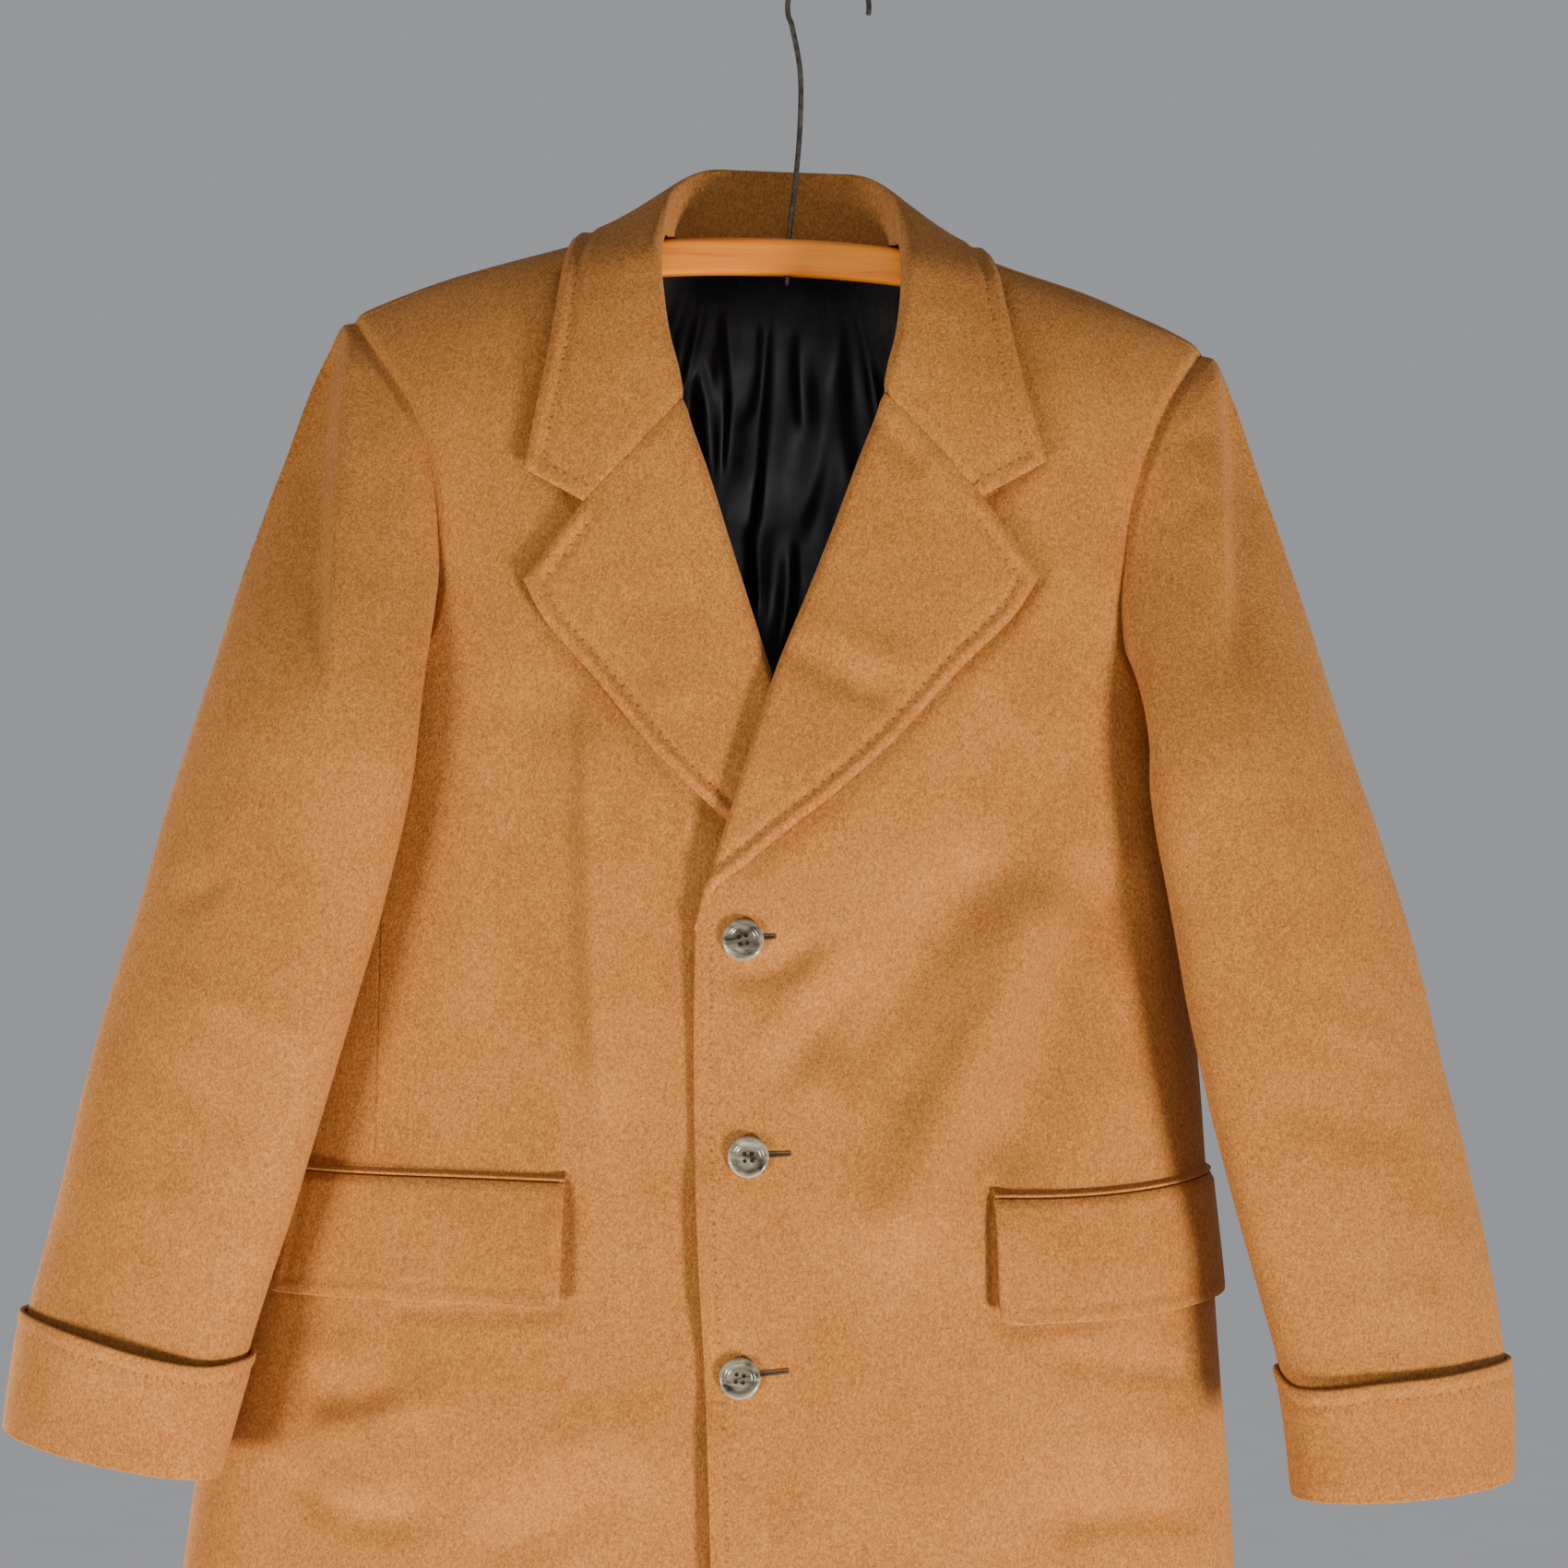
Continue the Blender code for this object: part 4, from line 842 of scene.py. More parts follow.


# the dart line is dented in the bump and darkened with painted shade by the cloth finish
def markDart(mesh, points):
    x0, z0, x1, z1 = frontForm["dart"]
    x, z = points[..., 0], points[..., 2]
    signed = ((x - x0) * (z1 - z0) - (z - z0) * (x1 - x0)) / math.hypot(x1 - x0, z1 - z0)
    fade = panelForm["dartFade"]
    setValues(mesh, "dartAway", signed * mm)
    setValues(mesh, "dartOn", panelForm["dartOn"] * ease((z0 - z) / fade) * ease((z - z1) / fade))


panels, clothPieces, borders = {}, {}, {}
for side in (left, right):
    for face in ("front", "back"):
        points, normals = panelSurface(side, face)
        edge = ()
        if face == "front":
            # the turned edge runs from the break of the lapel down to the hem
            low = points[:, 0, 2] < rollEnd - panelForm["edgeBelow"]
            borders["front", side] = points[low, 0]
            points, edge = padEdge(points, normals, points[low, 0])
            points = pressIn(side, points, normals)
        # the cloth rolls into the armhole seam
        last = panelForm[face + "Yoke"] + panelForm["upper"]
        beside, _ = besideEdge(points, points[:last, -1])
        deep = seamRoll["deep"] * (1 - ease((seamRoll["from"] - points[..., 2]) / seamRoll["fade"]))
        rolled = raised(points, normals, -(deep * (1 - ease(beside / seamRoll["wide"]))))
        panels[side, face] = points[:last], normals[:last], rolled[:last]
        for line in [rolled[last:, -1]] + ([rolled[:, 0]] if face == "back" else []):
            rolled = sinkSeam(rolled, normals, line)
        piece = layCloth(*names(face, side), rolled, normals, bodyForm["wall"], edge)
        clothPieces[face, side] = piece
        if (face, side) == ("front", right):
            markDart(piece.data, rolled)
print("body panels laid")


# Lapels and collar

lapelForm = {
    # in from the roll, height over the front; the first rows turn under the roll
    "under": ((3.2, -7.4), (1.6, -6.6), (0.5, -4.5), (-0.1, -1.8)),
    "roll": ((0.0, 0.8), (1.2, 3.4), (3.6, 5.4), (7.5, 6.2)),
    # distance out and height of the outer edge, from the tip to the break
    "edge": (
        (144.5, -365), (130, -389), (100, -421), (70, -456), (40, -485), (12, -509), (-10, -529), (-24, -541),
    ),
    "gorge": -260.5, "notch": (112.0, -320.5), "collarPoint": {left: (148.4, -298.0), right: (145.7, -303.6)},
    "edgeLift": 7.2, "leastLift": 1.2, "breakShare": 0.74, "wall": 3.0, "notchShare": 0.655,
    "turnColumns": 24, "notchColumn": 46, "falls": spaced((0.655, 22), (0.9, 12), (1.0, 9)),
    # past the break both lines run out under the front edge
    "rows": 100, "runOut": 0.075, "rollPast": (-3.2, -22.0), "edgePast": (-7.6, -24.0), "narrow": 24.0,
    "underFade": 0.6, "sinkFrom": 0.93, "sinkDepth": 1.6, "hidden": -9.0, "pad": 1.7, "seamShare": 1.3,
    # dents pressed into the lapels: start, bend and end, two widths, height
    "creases": {
        left: ((50, -262, 66, -280, 90, -306, 7, 11, -3.2), (60, -258, 80, -284, 100, -306, 9, 9, 1.6),
               (2, -396, 38, -424, 80, -432, 8, 13, -3.2), (18, -382, 50, -408, 92, -412, 12, 9, 2.2)),
        right: ((-60, -300, -84, -318, -112, -330, 10, 12, -1.5),
                (-20, -420, -46, -436, -74, -436, 11, 9, 1.3),
                (-30, -372, -62, -388, -96, -386, 12, 12, -1.1)),
    },
}


def rollPoint(z):
    return np.array((float(rollOut(z)), z))


def seamNormals(row, plain):
    along = unit(np.gradient(row, axis=0))
    chord = row[-1] - row[len(row) // 2]
    level = unit(chord - plain * dots(plain, chord))
    return unit(plain * dots(along, level) - level * dots(along, plain))


def lapelSurface(side):
    form = lapelForm
    edge = smoothThrough(np.linspace(0, 1, len(form["edge"])), form["edge"])
    turns = form["under"] + form["roll"]
    turning = smoothThrough(np.arange(len(turns)), turns)(np.linspace(0, len(turns) - 1, form["turnColumns"]))
    gorge, least = rollPoint(form["gorge"]), form["wall"] + form["leastLift"]
    bend = np.array(form["notch"]) - gorge - (np.array(form["edge"][0]) - gorge) * form["notchShare"]
    rows, plain = [], None
    for reached in np.linspace(0, 1 + form["runOut"], form["rows"]):
        share, past = min(reached, 1.0), max(0.0, reached - 1.0) / form["runOut"]
        roll = rollPoint(form["gorge"] + (rollEnd - form["gorge"]) * share)
        roll = roll + past * np.array(form["rollPast"])
        tip = edge(share) + past * np.array(form["edgePast"])
        width = np.hypot(*(tip - roll))
        scale = 1 + (form["breakShare"] - 1) * share
        inner, lift = turning[:, 0] * min(1.0, width / form["narrow"]), turning[:, 1]
        lift = np.where(lift > 0, lift * scale, lift * (1 - form["underFade"] * share))
        falls = inner[-1] + (width - inner[-1]) * form["falls"][1:]
        across = np.concatenate((inner, falls))
        edgeLift = max(form["edgeLift"] * scale, least)
        lift = np.concatenate((lift, lift[-1] + (edgeLift - lift[-1]) * falls / width))
        lift = np.maximum(lift, np.where(across > frontForm["behindRoll"] - 1.0, least, form["hidden"]))
        sunk = ease((reached - form["sinkFrom"]) / (0.07 + form["runOut"]))
        lift = lift * (1 - sunk) - form["sinkDepth"] * sunk
        bow = np.interp(across / width, (0, form["notchShare"], 1), (0, 1, 0)) * (1 - ease(share * 3))
        place = roll + np.outer(across / width, tip - roll) + np.outer(bow, bend)
        place[:, 1] -= bodyForm["seam"] * (1 - share) * 0.6
        x, z = leaning(side, place[:, 0], place[:, 1])
        dent = creaseHeight(form["creases"][side], x, z) * np.clip(lift / 5, 0, 1)
        rows.append(onFront(side, x, z, lift + dent))
        plain = frontNormals(x, z) if plain is None else plain
    points = np.array(rows)
    normals = sheetNormals(points, towardsFront)
    normals[0] = seamNormals(points[0], plain)
    return points, normals


for side in (left, right):
    points, normals = lapelSurface(side)
    notch = lapelForm["notchColumn"]
    gorge, border = points[0, :notch], np.concatenate((points[0, notch:], points[1:, -1]))
    points, edge = padEdge(points, normals, border, lapelForm["pad"])
    points = sinkSeam(points, normals, gorge, lapelForm["seamShare"])
    borders["lapel", side] = border
    clothPieces["lapel", side] = layCloth(*names("lapel", side), points, normals, lapelForm["wall"], edge)

collarForm = {
    "under": ((1.0, -7.0), (0.2, -4.5), (-0.2, -1.8)),
    # fold line and outer edge where the collar lies on the front
    "front": (((59.5, -243), (139, -267)), ((64.5, -224), (133, -240)), ((68.0, -200), (128, -211)),
              ((69.5, -176), (124, -186))),
    # stand at its seam, fold, and the outer edge on the shoulder: out and turn
    "neck": (
        ((67.4, -16.0, -162.5), (69.5, -9.0, -141.5), 120, 10),
        ((59.5, 5.5, -162.0), (63.0, 15.0, -126.0), 116, -14),
        ((44.5, 19.0, -162.5), (47.0, 33.0, -114.0), 99, -33),
        ((24.5, 27.0, -162.5), (25.0, 41.0, -111.5), 57, -46),
        ((0.0, 29.5, -161.5), (0.0, 43.5, -111.0), 0, -53),
    ),
    "edgeLift": 7.0, "neckLift": 4.3, "foldReach": 15.0, "wall": 3.0, "between": 11,
    # marks along a station: the fold is 3, the roll ends at 6, the notch is 8, the edge 10
    "fold": 3, "rollEnds": 6, "notch": 8, "stand": (0, 0.35, 0.7, 1),
    "frontFalls": (0.36, 0.655, 0.83, 1.0), "neckFalls": (0.06, 0.14, 0.25, 0.42, 0.62, 0.82, 1.0),
    "steps": np.concatenate((
        spaced((2.4, 8), (3.7, 22), (6.0, 10)), 6 + 4 * spaced((0.5, 18), (0.85, 12), (1.0, 8))[1:])),
}


def frontStation(side, path):
    form, steps, ends = collarForm, collarForm["steps"], collarForm["rollEnds"]
    path = np.array(path, float)
    marks = runAlong(path)
    total, marks = marks[-1], marks / marks[-1]
    rolls = np.array(form["under"] + lapelForm["roll"])
    falls = np.array(form["frontFalls"])
    if len(path) == 3:
        falls[1] = marks[1]  # a column of the end runs through the notch
    across = np.concatenate((rolls[:, 0], total * falls))
    lift = np.concatenate((rolls[:, 1], rolls[-1, 1] + (form["edgeLift"] - rolls[-1, 1]) * falls))
    knots = np.arange(len(across))
    rolling = smoothThrough(knots[:ends + 1], across[:ends + 1])(np.minimum(steps, ends))
    across = np.where(steps <= ends, rolling, np.interp(steps, knots, across))
    lift = smoothThrough(knots, lift)(steps)
    place = np.stack([np.interp(across / total, marks, path[:, i]) for i in (0, 1)], axis=1)
    place += np.outer(np.minimum(across, 0), unit(path[1] - path[0]))
    x, z = leaning(side, place[:, 0], place[:, 1])
    return onFront(side, x, z, lift), frontNormals(x, z)


def neckStation(side, base, fold, edgeOutward, edgeTurn):
    form, steps, bend = collarForm, collarForm["steps"], collarForm["fold"]
    base, fold = (np.array(spot) * np.array((side, 1.0, 1.0)) for spot in (base, fold))
    x, turn = np.float64(side * edgeOutward), np.float64(edgeTurn)
    up = shoulderNormals(x, turn)
    edge = overShoulder(x, turn) + up * form["neckLift"]
    reach = unit((edge - fold) * np.array((1.0, 1.0, 0.0))) * form["foldReach"]
    arrive = unit((edge - fold) - up * np.dot(edge - fold, up)) * np.linalg.norm(edge - fold)
    standing = np.interp(steps, np.arange(bend + 1), form["stand"])[:, None]
    falling = np.interp(steps, np.arange(bend, bend + 8), (0, *form["neckFalls"]))[:, None]
    stand = hermite(base, fold - base, fold, reach, standing)
    return np.where((steps <= bend)[:, None], stand, hermite(fold, reach * 1.1, edge, arrive, falling))


def collarHalf(side):
    gorge = np.array((rollPoint(lapelForm["gorge"]), lapelForm["notch"], lapelForm["collarPoint"][side]))
    first, plain = frontStation(side, gorge + np.array((0.0, bodyForm["seam"])))
    stations = [first] + [frontStation(side, path)[0] for path in collarForm["front"]]
    return stations + [neckStation(side, *row) for row in collarForm["neck"]], seamNormals(first, plain)


def collarSurface():
    (rightStations, rightEnd), (leftStations, leftEnd) = collarHalf(right), collarHalf(left)
    stations = np.array(rightStations + leftStations[-2::-1])
    last = len(stations) - 1
    steps = np.linspace(0, last, last * collarForm["between"] + 1)
    points = smoothThrough(np.arange(last + 1), stations)(steps)
    normals = sheetNormals(points, upwards)
    if normals[len(points) // 2, 12, 2] < 0:
        normals = -normals
    normals[0], normals[-1] = rightEnd, leftEnd
    return points, normals


points, normals = collarSurface()
notch = int(np.argmin(np.abs(collarForm["steps"] - collarForm["notch"])))
borders["collar"] = np.concatenate((points[0, notch:-1], points[:, -1], points[-1, -2:notch:-1]))
gorges = points[0, :notch], points[-1, :notch]
points, edge = padEdge(points, normals, borders["collar"], lapelForm["pad"])
for gorge in gorges:
    points = sinkSeam(points, normals, gorge, lapelForm["seamShare"])
clothPieces["collar"] = layCloth("collarCloth", "collar", points, normals, collarForm["wall"], edge)
print("lapels and collar laid")


# Sleeves and cuffs

sleeveForm = {
    # height, inner and outer edge from the front, middle line's depth, half depth
    right: (
        (-440, 190, 322, -57, 33), (-506, 199, 340, -58, 33), (-551, 208, 351, -58, 34),
        (-632, 227, 373, -59, 35), (-720, 250, 391, -60, 36), (-800, 272, 408, -61, 36),
        (-900, 296, 420, -63, 36),
    ),
    left: (
        (-440, 215, 335, -51, 32), (-500, 224, 359, -53, 33), (-548, 235, 376, -54, 34),
        (-616, 250, 396, -55, 35), (-690, 270, 417, -56, 36), (-757, 292, 433, -57, 36),
        (-800, 306, 440, -58, 36), (-900, 322, 445, -60, 36),
    ),
    "end": {right: -872.0, left: -864.0}, "tilt": {right: 0.12, left: 0.07},
    "first": -476.0, "yaw": 0.25, "wall": 2.6, "seamAngles": (-62.0, 186.0),
    "topColumns": spaced((0.38, 28), (0.82, 88), (1.0, 16)), "underColumns": 42, "capRows": 60, "rows": 112,
    "capPower": 1.5, "seamsOff": 1.5, "fallStep": 10.0, "lapUp": 0.4, "turnedIn": 3.0,
    "facing": 1.6, "reliefFrom": 16.0, "swell": (25.0, 70.0),
    # angle round the armhole, how far the sleeve leaves along and out, how far it laps
    "cap": ((0, 85, 0, 0.0), (60, 55, 18, 0.0), (110, 15, 40, 0.7), (170, -35, 48, 1.0), (262, -25, 42, 1.0),
            (295, 25, 26, 0.6), (325, 60, 10, 0.0), (360, 85, 0, 0.0)),
    "underarmAngle": 262.0, "evened": 7,
    # share of the armhole edge, angle
    "round": {"front": ((0.0, 0), (0.35, 65), (0.55, 115), (0.76, 178), (1.0, 262)),
              "back": ((0.0, 262), (0.5, 308), (1.0, 360))},
    # creases of the front half, then of the back half
    "frontCreases": {
        right: (
            (-245, -140, -252, -320, -239, -462, 4.0, 15, 4.6),
            (-262, -160, -268, -330, -247, -446, 26, 6, -6.4),
            (-232, -300, -222, -350, -212, -390, 12, 10, -1.6),
            (-330, -566, -312, -560, -292, -538, 7, 9, -1.6),
            (-318, -600, -270, -626, -232, -640, 10, 14, 1.8),
            (-352, -640, -310, -668, -262, -690, 12, 9, -1.8),
            (-372, -740, -330, -720, -290, -735, 14, 14, 1.6),
            (-285, -470, -300, -560, -330, -700, 20, 24, 2.0),
        ),
        left: (
            (249, -170, 261, -310, 256, -412, 20, 5, 4.0), (264, -190, 273, -330, 268, -420, 7, 14, -3.4),
            (232, -268, 246, -276, 258, -270, 8, 8, -1.4), (222, -330, 236, -322, 250, -300, 9, 9, -1.3),
            (300, -590, 330, -610, 372, -618, 11, 11, 1.7), (290, -640, 330, -664, 384, -668, 10, 14, -1.8),
            (318, -770, 360, -748, 414, -762, 14, 12, 1.6), (290, -460, 318, -560, 350, -700, 24, 20, 1.8),
        ),
    },
    "backCreases": {
        right: ((-300, -520, -270, -545, -236, -560, 12, 9, -3.0),
                (-330, -590, -290, -612, -250, -612, 9, 13, -2.6),
                (-350, -660, -310, -676, -270, -668, 12, 12, 2.2)),
        left: ((315, -540, 280, -562, 246, -572, 12, 9, -3.0), (345, -600, 310, -622, 268, -626, 9, 13, -2.6),
               (375, -680, 335, -694, 290, -690, 12, 12, 2.2)),
    },
}
sleeveCurves = {side: columnsOf(sleeveForm[side]) for side in (left, right)}
capAlong, capOut, capLap = columnsOf(sleeveForm["cap"])


def armholeLine(side):
    found, evened = {}, sleeveForm["evened"]
    for face in ("front", "back"):
        step = 1 if face == "front" else -1  # down the front, up the back
        points, normals, rolled = (values[::step] for values in panels[side, face])
        edge, normal = rolled[:, -1], normals[:, -1]
        tangent, run = unit(np.gradient(edge, axis=0)), runAlong(edge)
        leaving = points[:, -1] - points[:, -3]
        leaving = leaving - normal * dots(leaving, normal)
        leaving = unit(leaving - tangent * dots(leaving, tangent))
        # the solid's coarser edge turns more slowly, so the way off it is evened out
        padded = np.pad(leaving, ((evened // 2,) * 2, (0, 0)), mode="edge")
        leaving = [np.convolve(padded[:, i], np.ones(evened) / evened, mode="valid") for i in range(3)]
        found[face] = run / run[-1], (edge, normal, np.stack(leaving, axis=1)), sleeveForm["round"][face]

    def at(angle):
        angle = angle % 360
        run, lines, spots = found["front" if angle <= sleeveForm["underarmAngle"] else "back"]
        shares, angles = zip(*spots)
        share = np.interp(angle, angles, shares)
        place, up, away = (np.array([np.interp(share, run, line[:, i]) for i in range(3)]) for line in lines)
        return place, unit(up), unit(away)

    return at


def sleeveRing(side, level, angle):
    # 0 is outside, 90 the front, 180 inside
    inner, outer, line, halfDepth = sleeveCurves[side]
    cosine, sine = np.cos(np.radians(angle)), np.sin(np.radians(angle))
    half = (outer(level) - inner(level)) / 2
    z = level + sleeveForm["tilt"][side] * cosine * half
    x = (inner(z) + outer(z)) / 2 + cosine * (outer(z) - inner(z)) / 2
    y = line(z) + sleeveForm["yaw"] * cosine * half - halfDepth(z) * sine
    return xyz(side * x, y, z)


def sleeveSurface(side, angles):
    form, at = sleeveForm, armholeLine(side)
    shares = (np.linspace(0, 1, form["capRows"]) ** form["capPower"])[:, None]
    levels = np.linspace(form["first"], form["end"][side], form["rows"] + 1)[1:]
    lines, tops = [], []
    for angle in angles:
        edge, normal, leaving = at(angle)
        turn = angle % 360
        start = edge + leaving * bodyForm["seam"] * form["seamsOff"] + normal * capLap(turn) * form["lapUp"]
        lip = start - normal * seamRoll["lip"] - leaving * form["turnedIn"]  # the seam allowance turned in
        end = sleeveRing(side, form["first"], angle)
        fall = (sleeveRing(side, form["first"] - form["fallStep"], angle) - end) / form["fallStep"]
        away = leaving * capAlong(turn) + normal * capOut(turn)
        cap = hermite(start, away, end, fall * np.linalg.norm(end - start), shares)
        lines.append(np.concatenate((lip[None], cap, sleeveRing(side, levels, angle))))
        tops.append(normal)
    points = np.array(lines).transpose(1, 0, 2)
    normals = sheetNormals(points, fromMiddle(points), around=True)
    normals[:2] = tops
    return points, normals


def sleeveRelief(side, points, normals, angles):
    form = sleeveForm
    ahead, behind = (np.clip(way * normals[..., 1] * form["facing"], 0, 1) for way in (-1, 1))
    x, y, z = np.moveaxis(points, -1, 0)
    relief = (creaseHeight(form["frontCreases"][side], x, z) * ahead
              + creaseHeight(form["backCreases"][side], x, z) * behind + hungWaver(x, z, y))
    away = np.linalg.norm(points - points[1:2], axis=-1)
    away[0] = 0
    swellFrom, swellRun = form["swell"]
    swell = ease(away / seamRoll["wide"]) * (1 - ease((away - swellFrom) / swellRun))
    return relief * ease(away / form["reliefFrom"]) + seamRoll["deep"] * swell * (1 - capLap(angles % 360))


for side in (left, right):
    first, last = sleeveForm["seamAngles"]
    topAngles = first + (last - first) * sleeveForm["topColumns"]
    underAngles = np.linspace(last, first + 360, sleeveForm["underColumns"] + 1)
    angles, count = np.concatenate((topAngles, underAngles[1:])), len(topAngles)
    points, normals = sleeveSurface(side, angles)
    points = raised(points, normals, sleeveRelief(side, points, normals, angles))
    for part, columns in (("top", slice(0, count)), ("under", slice(count - 1, None))):
        cut = points[:, columns].copy()
        for end, near in ((0, 1), (-1, -2)):
            cut[:, end] += unit(cut[:, near] - cut[:, end]) * bodyForm["seam"] / 2
        clothPieces["sleeve" + part, side] = layCloth(
            *names("sleeve", side, part), cut, normals[:, columns], sleeveForm["wall"])

cuffForm = {
    "deep": 66.0, "clear": 0.7, "past": 1.6, "wall": 3.0, "columns": 132, "pad": 0.8, "rounding": 1.3,
    "shares": spaced((0.3, 11), (0.85, 12), (1.0, 7)), "riseFades": 1.6, "gapePower": 1.6,
    "tuckFrom": 0.9, "tuck": 2.2, "tuckMost": 0.4,
    # angle, rise of the top edge, gape there
    "firstAngle": -40.0,
    right: ((-40, 0, 1.4), (0, 0, 1.2), (40, 0.5, 3.0), (75, -0.5, 5.6), (105, -3.0, 4.6), (135, -3.5, 1.6),
            (160, 0.5, 0.5), (185, 3.0, 0.3), (230, 0, 1.2), (280, 0, 2.0), (320, 0, 1.6)),
    left: ((-40, 0, 1.2), (0, 0, 0.7), (40, 0.5, 1.2), (75, -0.5, 1.8), (105, -1.0, 2.6), (135, -3.5, 2.8),
           (158, -3.0, 1.0), (180, 4.0, 0.4), (230, 0, 1.2), (280, 0, 2.0), (320, 0, 1.4)),
}


def cuffSurface(side):
    form = cuffForm
    angles, shares = np.linspace(0, 360, form["columns"] + 1), form["shares"][:, None]
    turned = (angles - form["firstAngle"]) % 360 + form["firstAngle"]
    rise, gape = (curve(turned) for curve in columnsOf(form[side]))
    levels = (sleeveForm["end"][side] + form["deep"] * (1 - shares) - form["past"] * shares
              + rise * (1 - ease(shares * form["riseFades"])))
    points = np.array([sleeveRing(side, level, angles) for level in levels])
    normals = sheetNormals(points, fromMiddle(points), around=True)
    gape = form["clear"] + gape * (1 - shares) ** form["gapePower"]
    # the lower fold rounds in
    tuck = form["tuck"] * ease((shares - form["tuckFrom"]) / (1 - form["tuckFrom"])) ** 2
    return raised(points, normals, gape + form["wall"] - np.minimum(tuck, form["tuckMost"])), normals


for side in (left, right):
    points, normals = cuffSurface(side)
    border = points[0]
    points, _ = padEdge(points, normals, border, cuffForm["pad"])
    points[:, -1] = points[:, 0]
    piece = layCloth(
        *names("cuff", side), points, normals, cuffForm["wall"], rounding=cuffForm["rounding"], around=True)
    places = np.array([vert.co for vert in piece.data.vertices]) / mm - coatShift
    markEdge(piece.data, besideEdge(places[None], border))
    clothPieces["cuff", side] = piece
print("sleeves and cuffs laid")


# Pockets

pocketForm = {
    # forward end, its slant, rear end as an angle round the body, top height at both ends
    right: (-101.0, 0.0, 59.0, -710.0, -713.0), left: (141.0, 5.0, 87.0, -710.5, -699.0),
    "deep": 70.0, "long": 165.0, "clear": 0.7, "flare": 2.6, "wall": 3.0, "columns": 66,
    "corner": 5.0, "bend": 0.98,
    "frontLift": 2.6, "liftLong": 17.0, "liftDeep": 22.0, "topSink": 1.9, "topRun": 0.07, "pad": 0.5,
    "shares": spaced((0.8, 24), (1.0, 10)), "rounding": 1.25,
    # the welt above the flap
    "lipDeep": 5.0, "lipGap": 0.5, "lipWall": 2.0, "lipShares": np.linspace(0, 1, 9), "lipRounding": 0.8,
    "lipFoot": -0.8, "lipRise": (3.9, 1.25), "lipTurn": (0.7, 0.75),
}


def pocketSurface(side, tops, downs, outs, frontLift=0.0):
    form = pocketForm
    frontX, slant, rearAngle, _, _ = form[side]
    share = np.linspace(0, 1, len(tops))
    points, normals = [], []
    for down, out in zip(downs, outs):
        z = tops - down
        first = angleAt(side, frontX + slant * down / form["deep"], z[0], 1)
        bend = np.clip((down - form["deep"] + form["corner"]) / form["corner"], 0, 1)
        inset = form["corner"] * (1 - math.sqrt(1 - bend**2 * form["bend"])) / form["long"]
        angles = first + (rearAngle - first) * (inset + share * (1 - 2 * inset))
        normal, place = roundNormals(side, angles, z), roundBody(side, angles, z)
        lift = frontLift * (1 - ease(share * form["long"] / form["liftLong"])) * ease(down / form["liftDeep"])
        points.append(raised(place, normal, frontRelief(side, place[:, 0], place[:, 2]) + (out + lift)))
        normals.append(normal)
    return np.array(points), np.array(normals)


for side in (left, right):
    form, shares, lipShares = pocketForm, pocketForm["shares"], pocketForm["lipShares"]
    _, _, _, frontTop, rearTop = form[side]
    tops = frontTop + (rearTop - frontTop) * ease(np.linspace(0, 1, form["columns"] + 1))
    outs = (form["clear"] + form["wall"] + form["flare"] * shares
            - form["topSink"] * (1 - ease(shares / form["topRun"])))
    points, normals = pocketSurface(side, tops, form["deep"] * shares, outs, form["frontLift"])
    border = np.concatenate((points[:, 0], points[-1, 1:], points[-2::-1, -1]))
    points, _ = padEdge(points, normals, border, form["pad"])
    clothPieces["flap", side] = layCloth(
        *names("flap", side), points, normals, form["wall"], rounding=form["rounding"])
    (high, steep), (turn, turnFrom) = form["lipRise"], form["lipTurn"]
    lip = form["lipFoot"] + high * ease(lipShares * steep)
    lip = lip - turn * ease((lipShares - turnFrom) / (1 - turnFrom))
    points, normals = pocketSurface(
        side, tops + form["lipGap"] + form["lipDeep"], form["lipDeep"] * lipShares, lip)
    clothPieces["welt", side] = layCloth(
        *names("welt", side), points, normals, form["lipWall"], rounding=form["lipRounding"])
print("pockets laid")


# Lining

liningForm = {
    "wall": 1.0, "clear": 2.4, "hemAbove": 35.0, "topHalf": 150.0, "reach": 78.0, "columns": 160,
    "shares": spaced((0.35, 100), (1.0, 30)) ** 1.2, "deepest": 9.5, "rounding": 0.3,
    "neckIn": 14.0, "below": 7.0, "slope": (12.0, 40.0, 60.0), "fromArmhole": 16.0,
    "slack": 2.2, "waver": (2.2, 1.7, 37.0, 1.35), "soft": (0.55, 0.9), "flatTop": 24, "reached": 7,
    "sway": (9, 7), "widen": (0.75, 0.8),
    # place across, drift towards the hem, half width, height of each soft upright fold
    "folds": (
        (-0.66, -0.02, 0.070, 3.5), (-0.47, 0.03, 0.050, 4.0), (-0.31, -0.02, 0.034, 4.6),
        (-0.205, 0.012, 0.022, 3.4), (-0.115, 0.015, 0.036, 3.4), (0.125, 0.012, 0.050, 3.6),
        (0.235, -0.015, 0.026, 3.4), (0.34, 0.02, 0.040, 4.4), (0.50, -0.03, 0.056, 4.6),
        (0.68, 0.02, 0.070, 3.6),
    ),
    # crumples below the neck: start, bend and end, two widths, height
    "creases": (
        (-37, -182, -20, -240, -31, -315, 3.5, 10, 5.2), (-3, -178, -2, -280, -12, -372, 3, 15, 5.6),
        (-19, -188, -9, -226, -21, -268, 9, 4.5, 3.8), (26, -205, 36, -272, 8, -345, 13, 8, 4.2),
        (-52, -218, -39, -258, -37, -310, 9, 4.5, 4.2), (-15, -318, -3, -350, -9, -405, 4, 7, 4.0),
        (9, -325, 17, -362, 4, -415, 7, 4, 3.8), (50, -186, 43, -240, 52, -300, 8, 10, -4.0),
        (-62, -190, -58, -230, -50, -275, 6, 8, -3.0), (14, -196, 12, -232, 20, -276, 4, 8, -3.6),
    ),
}


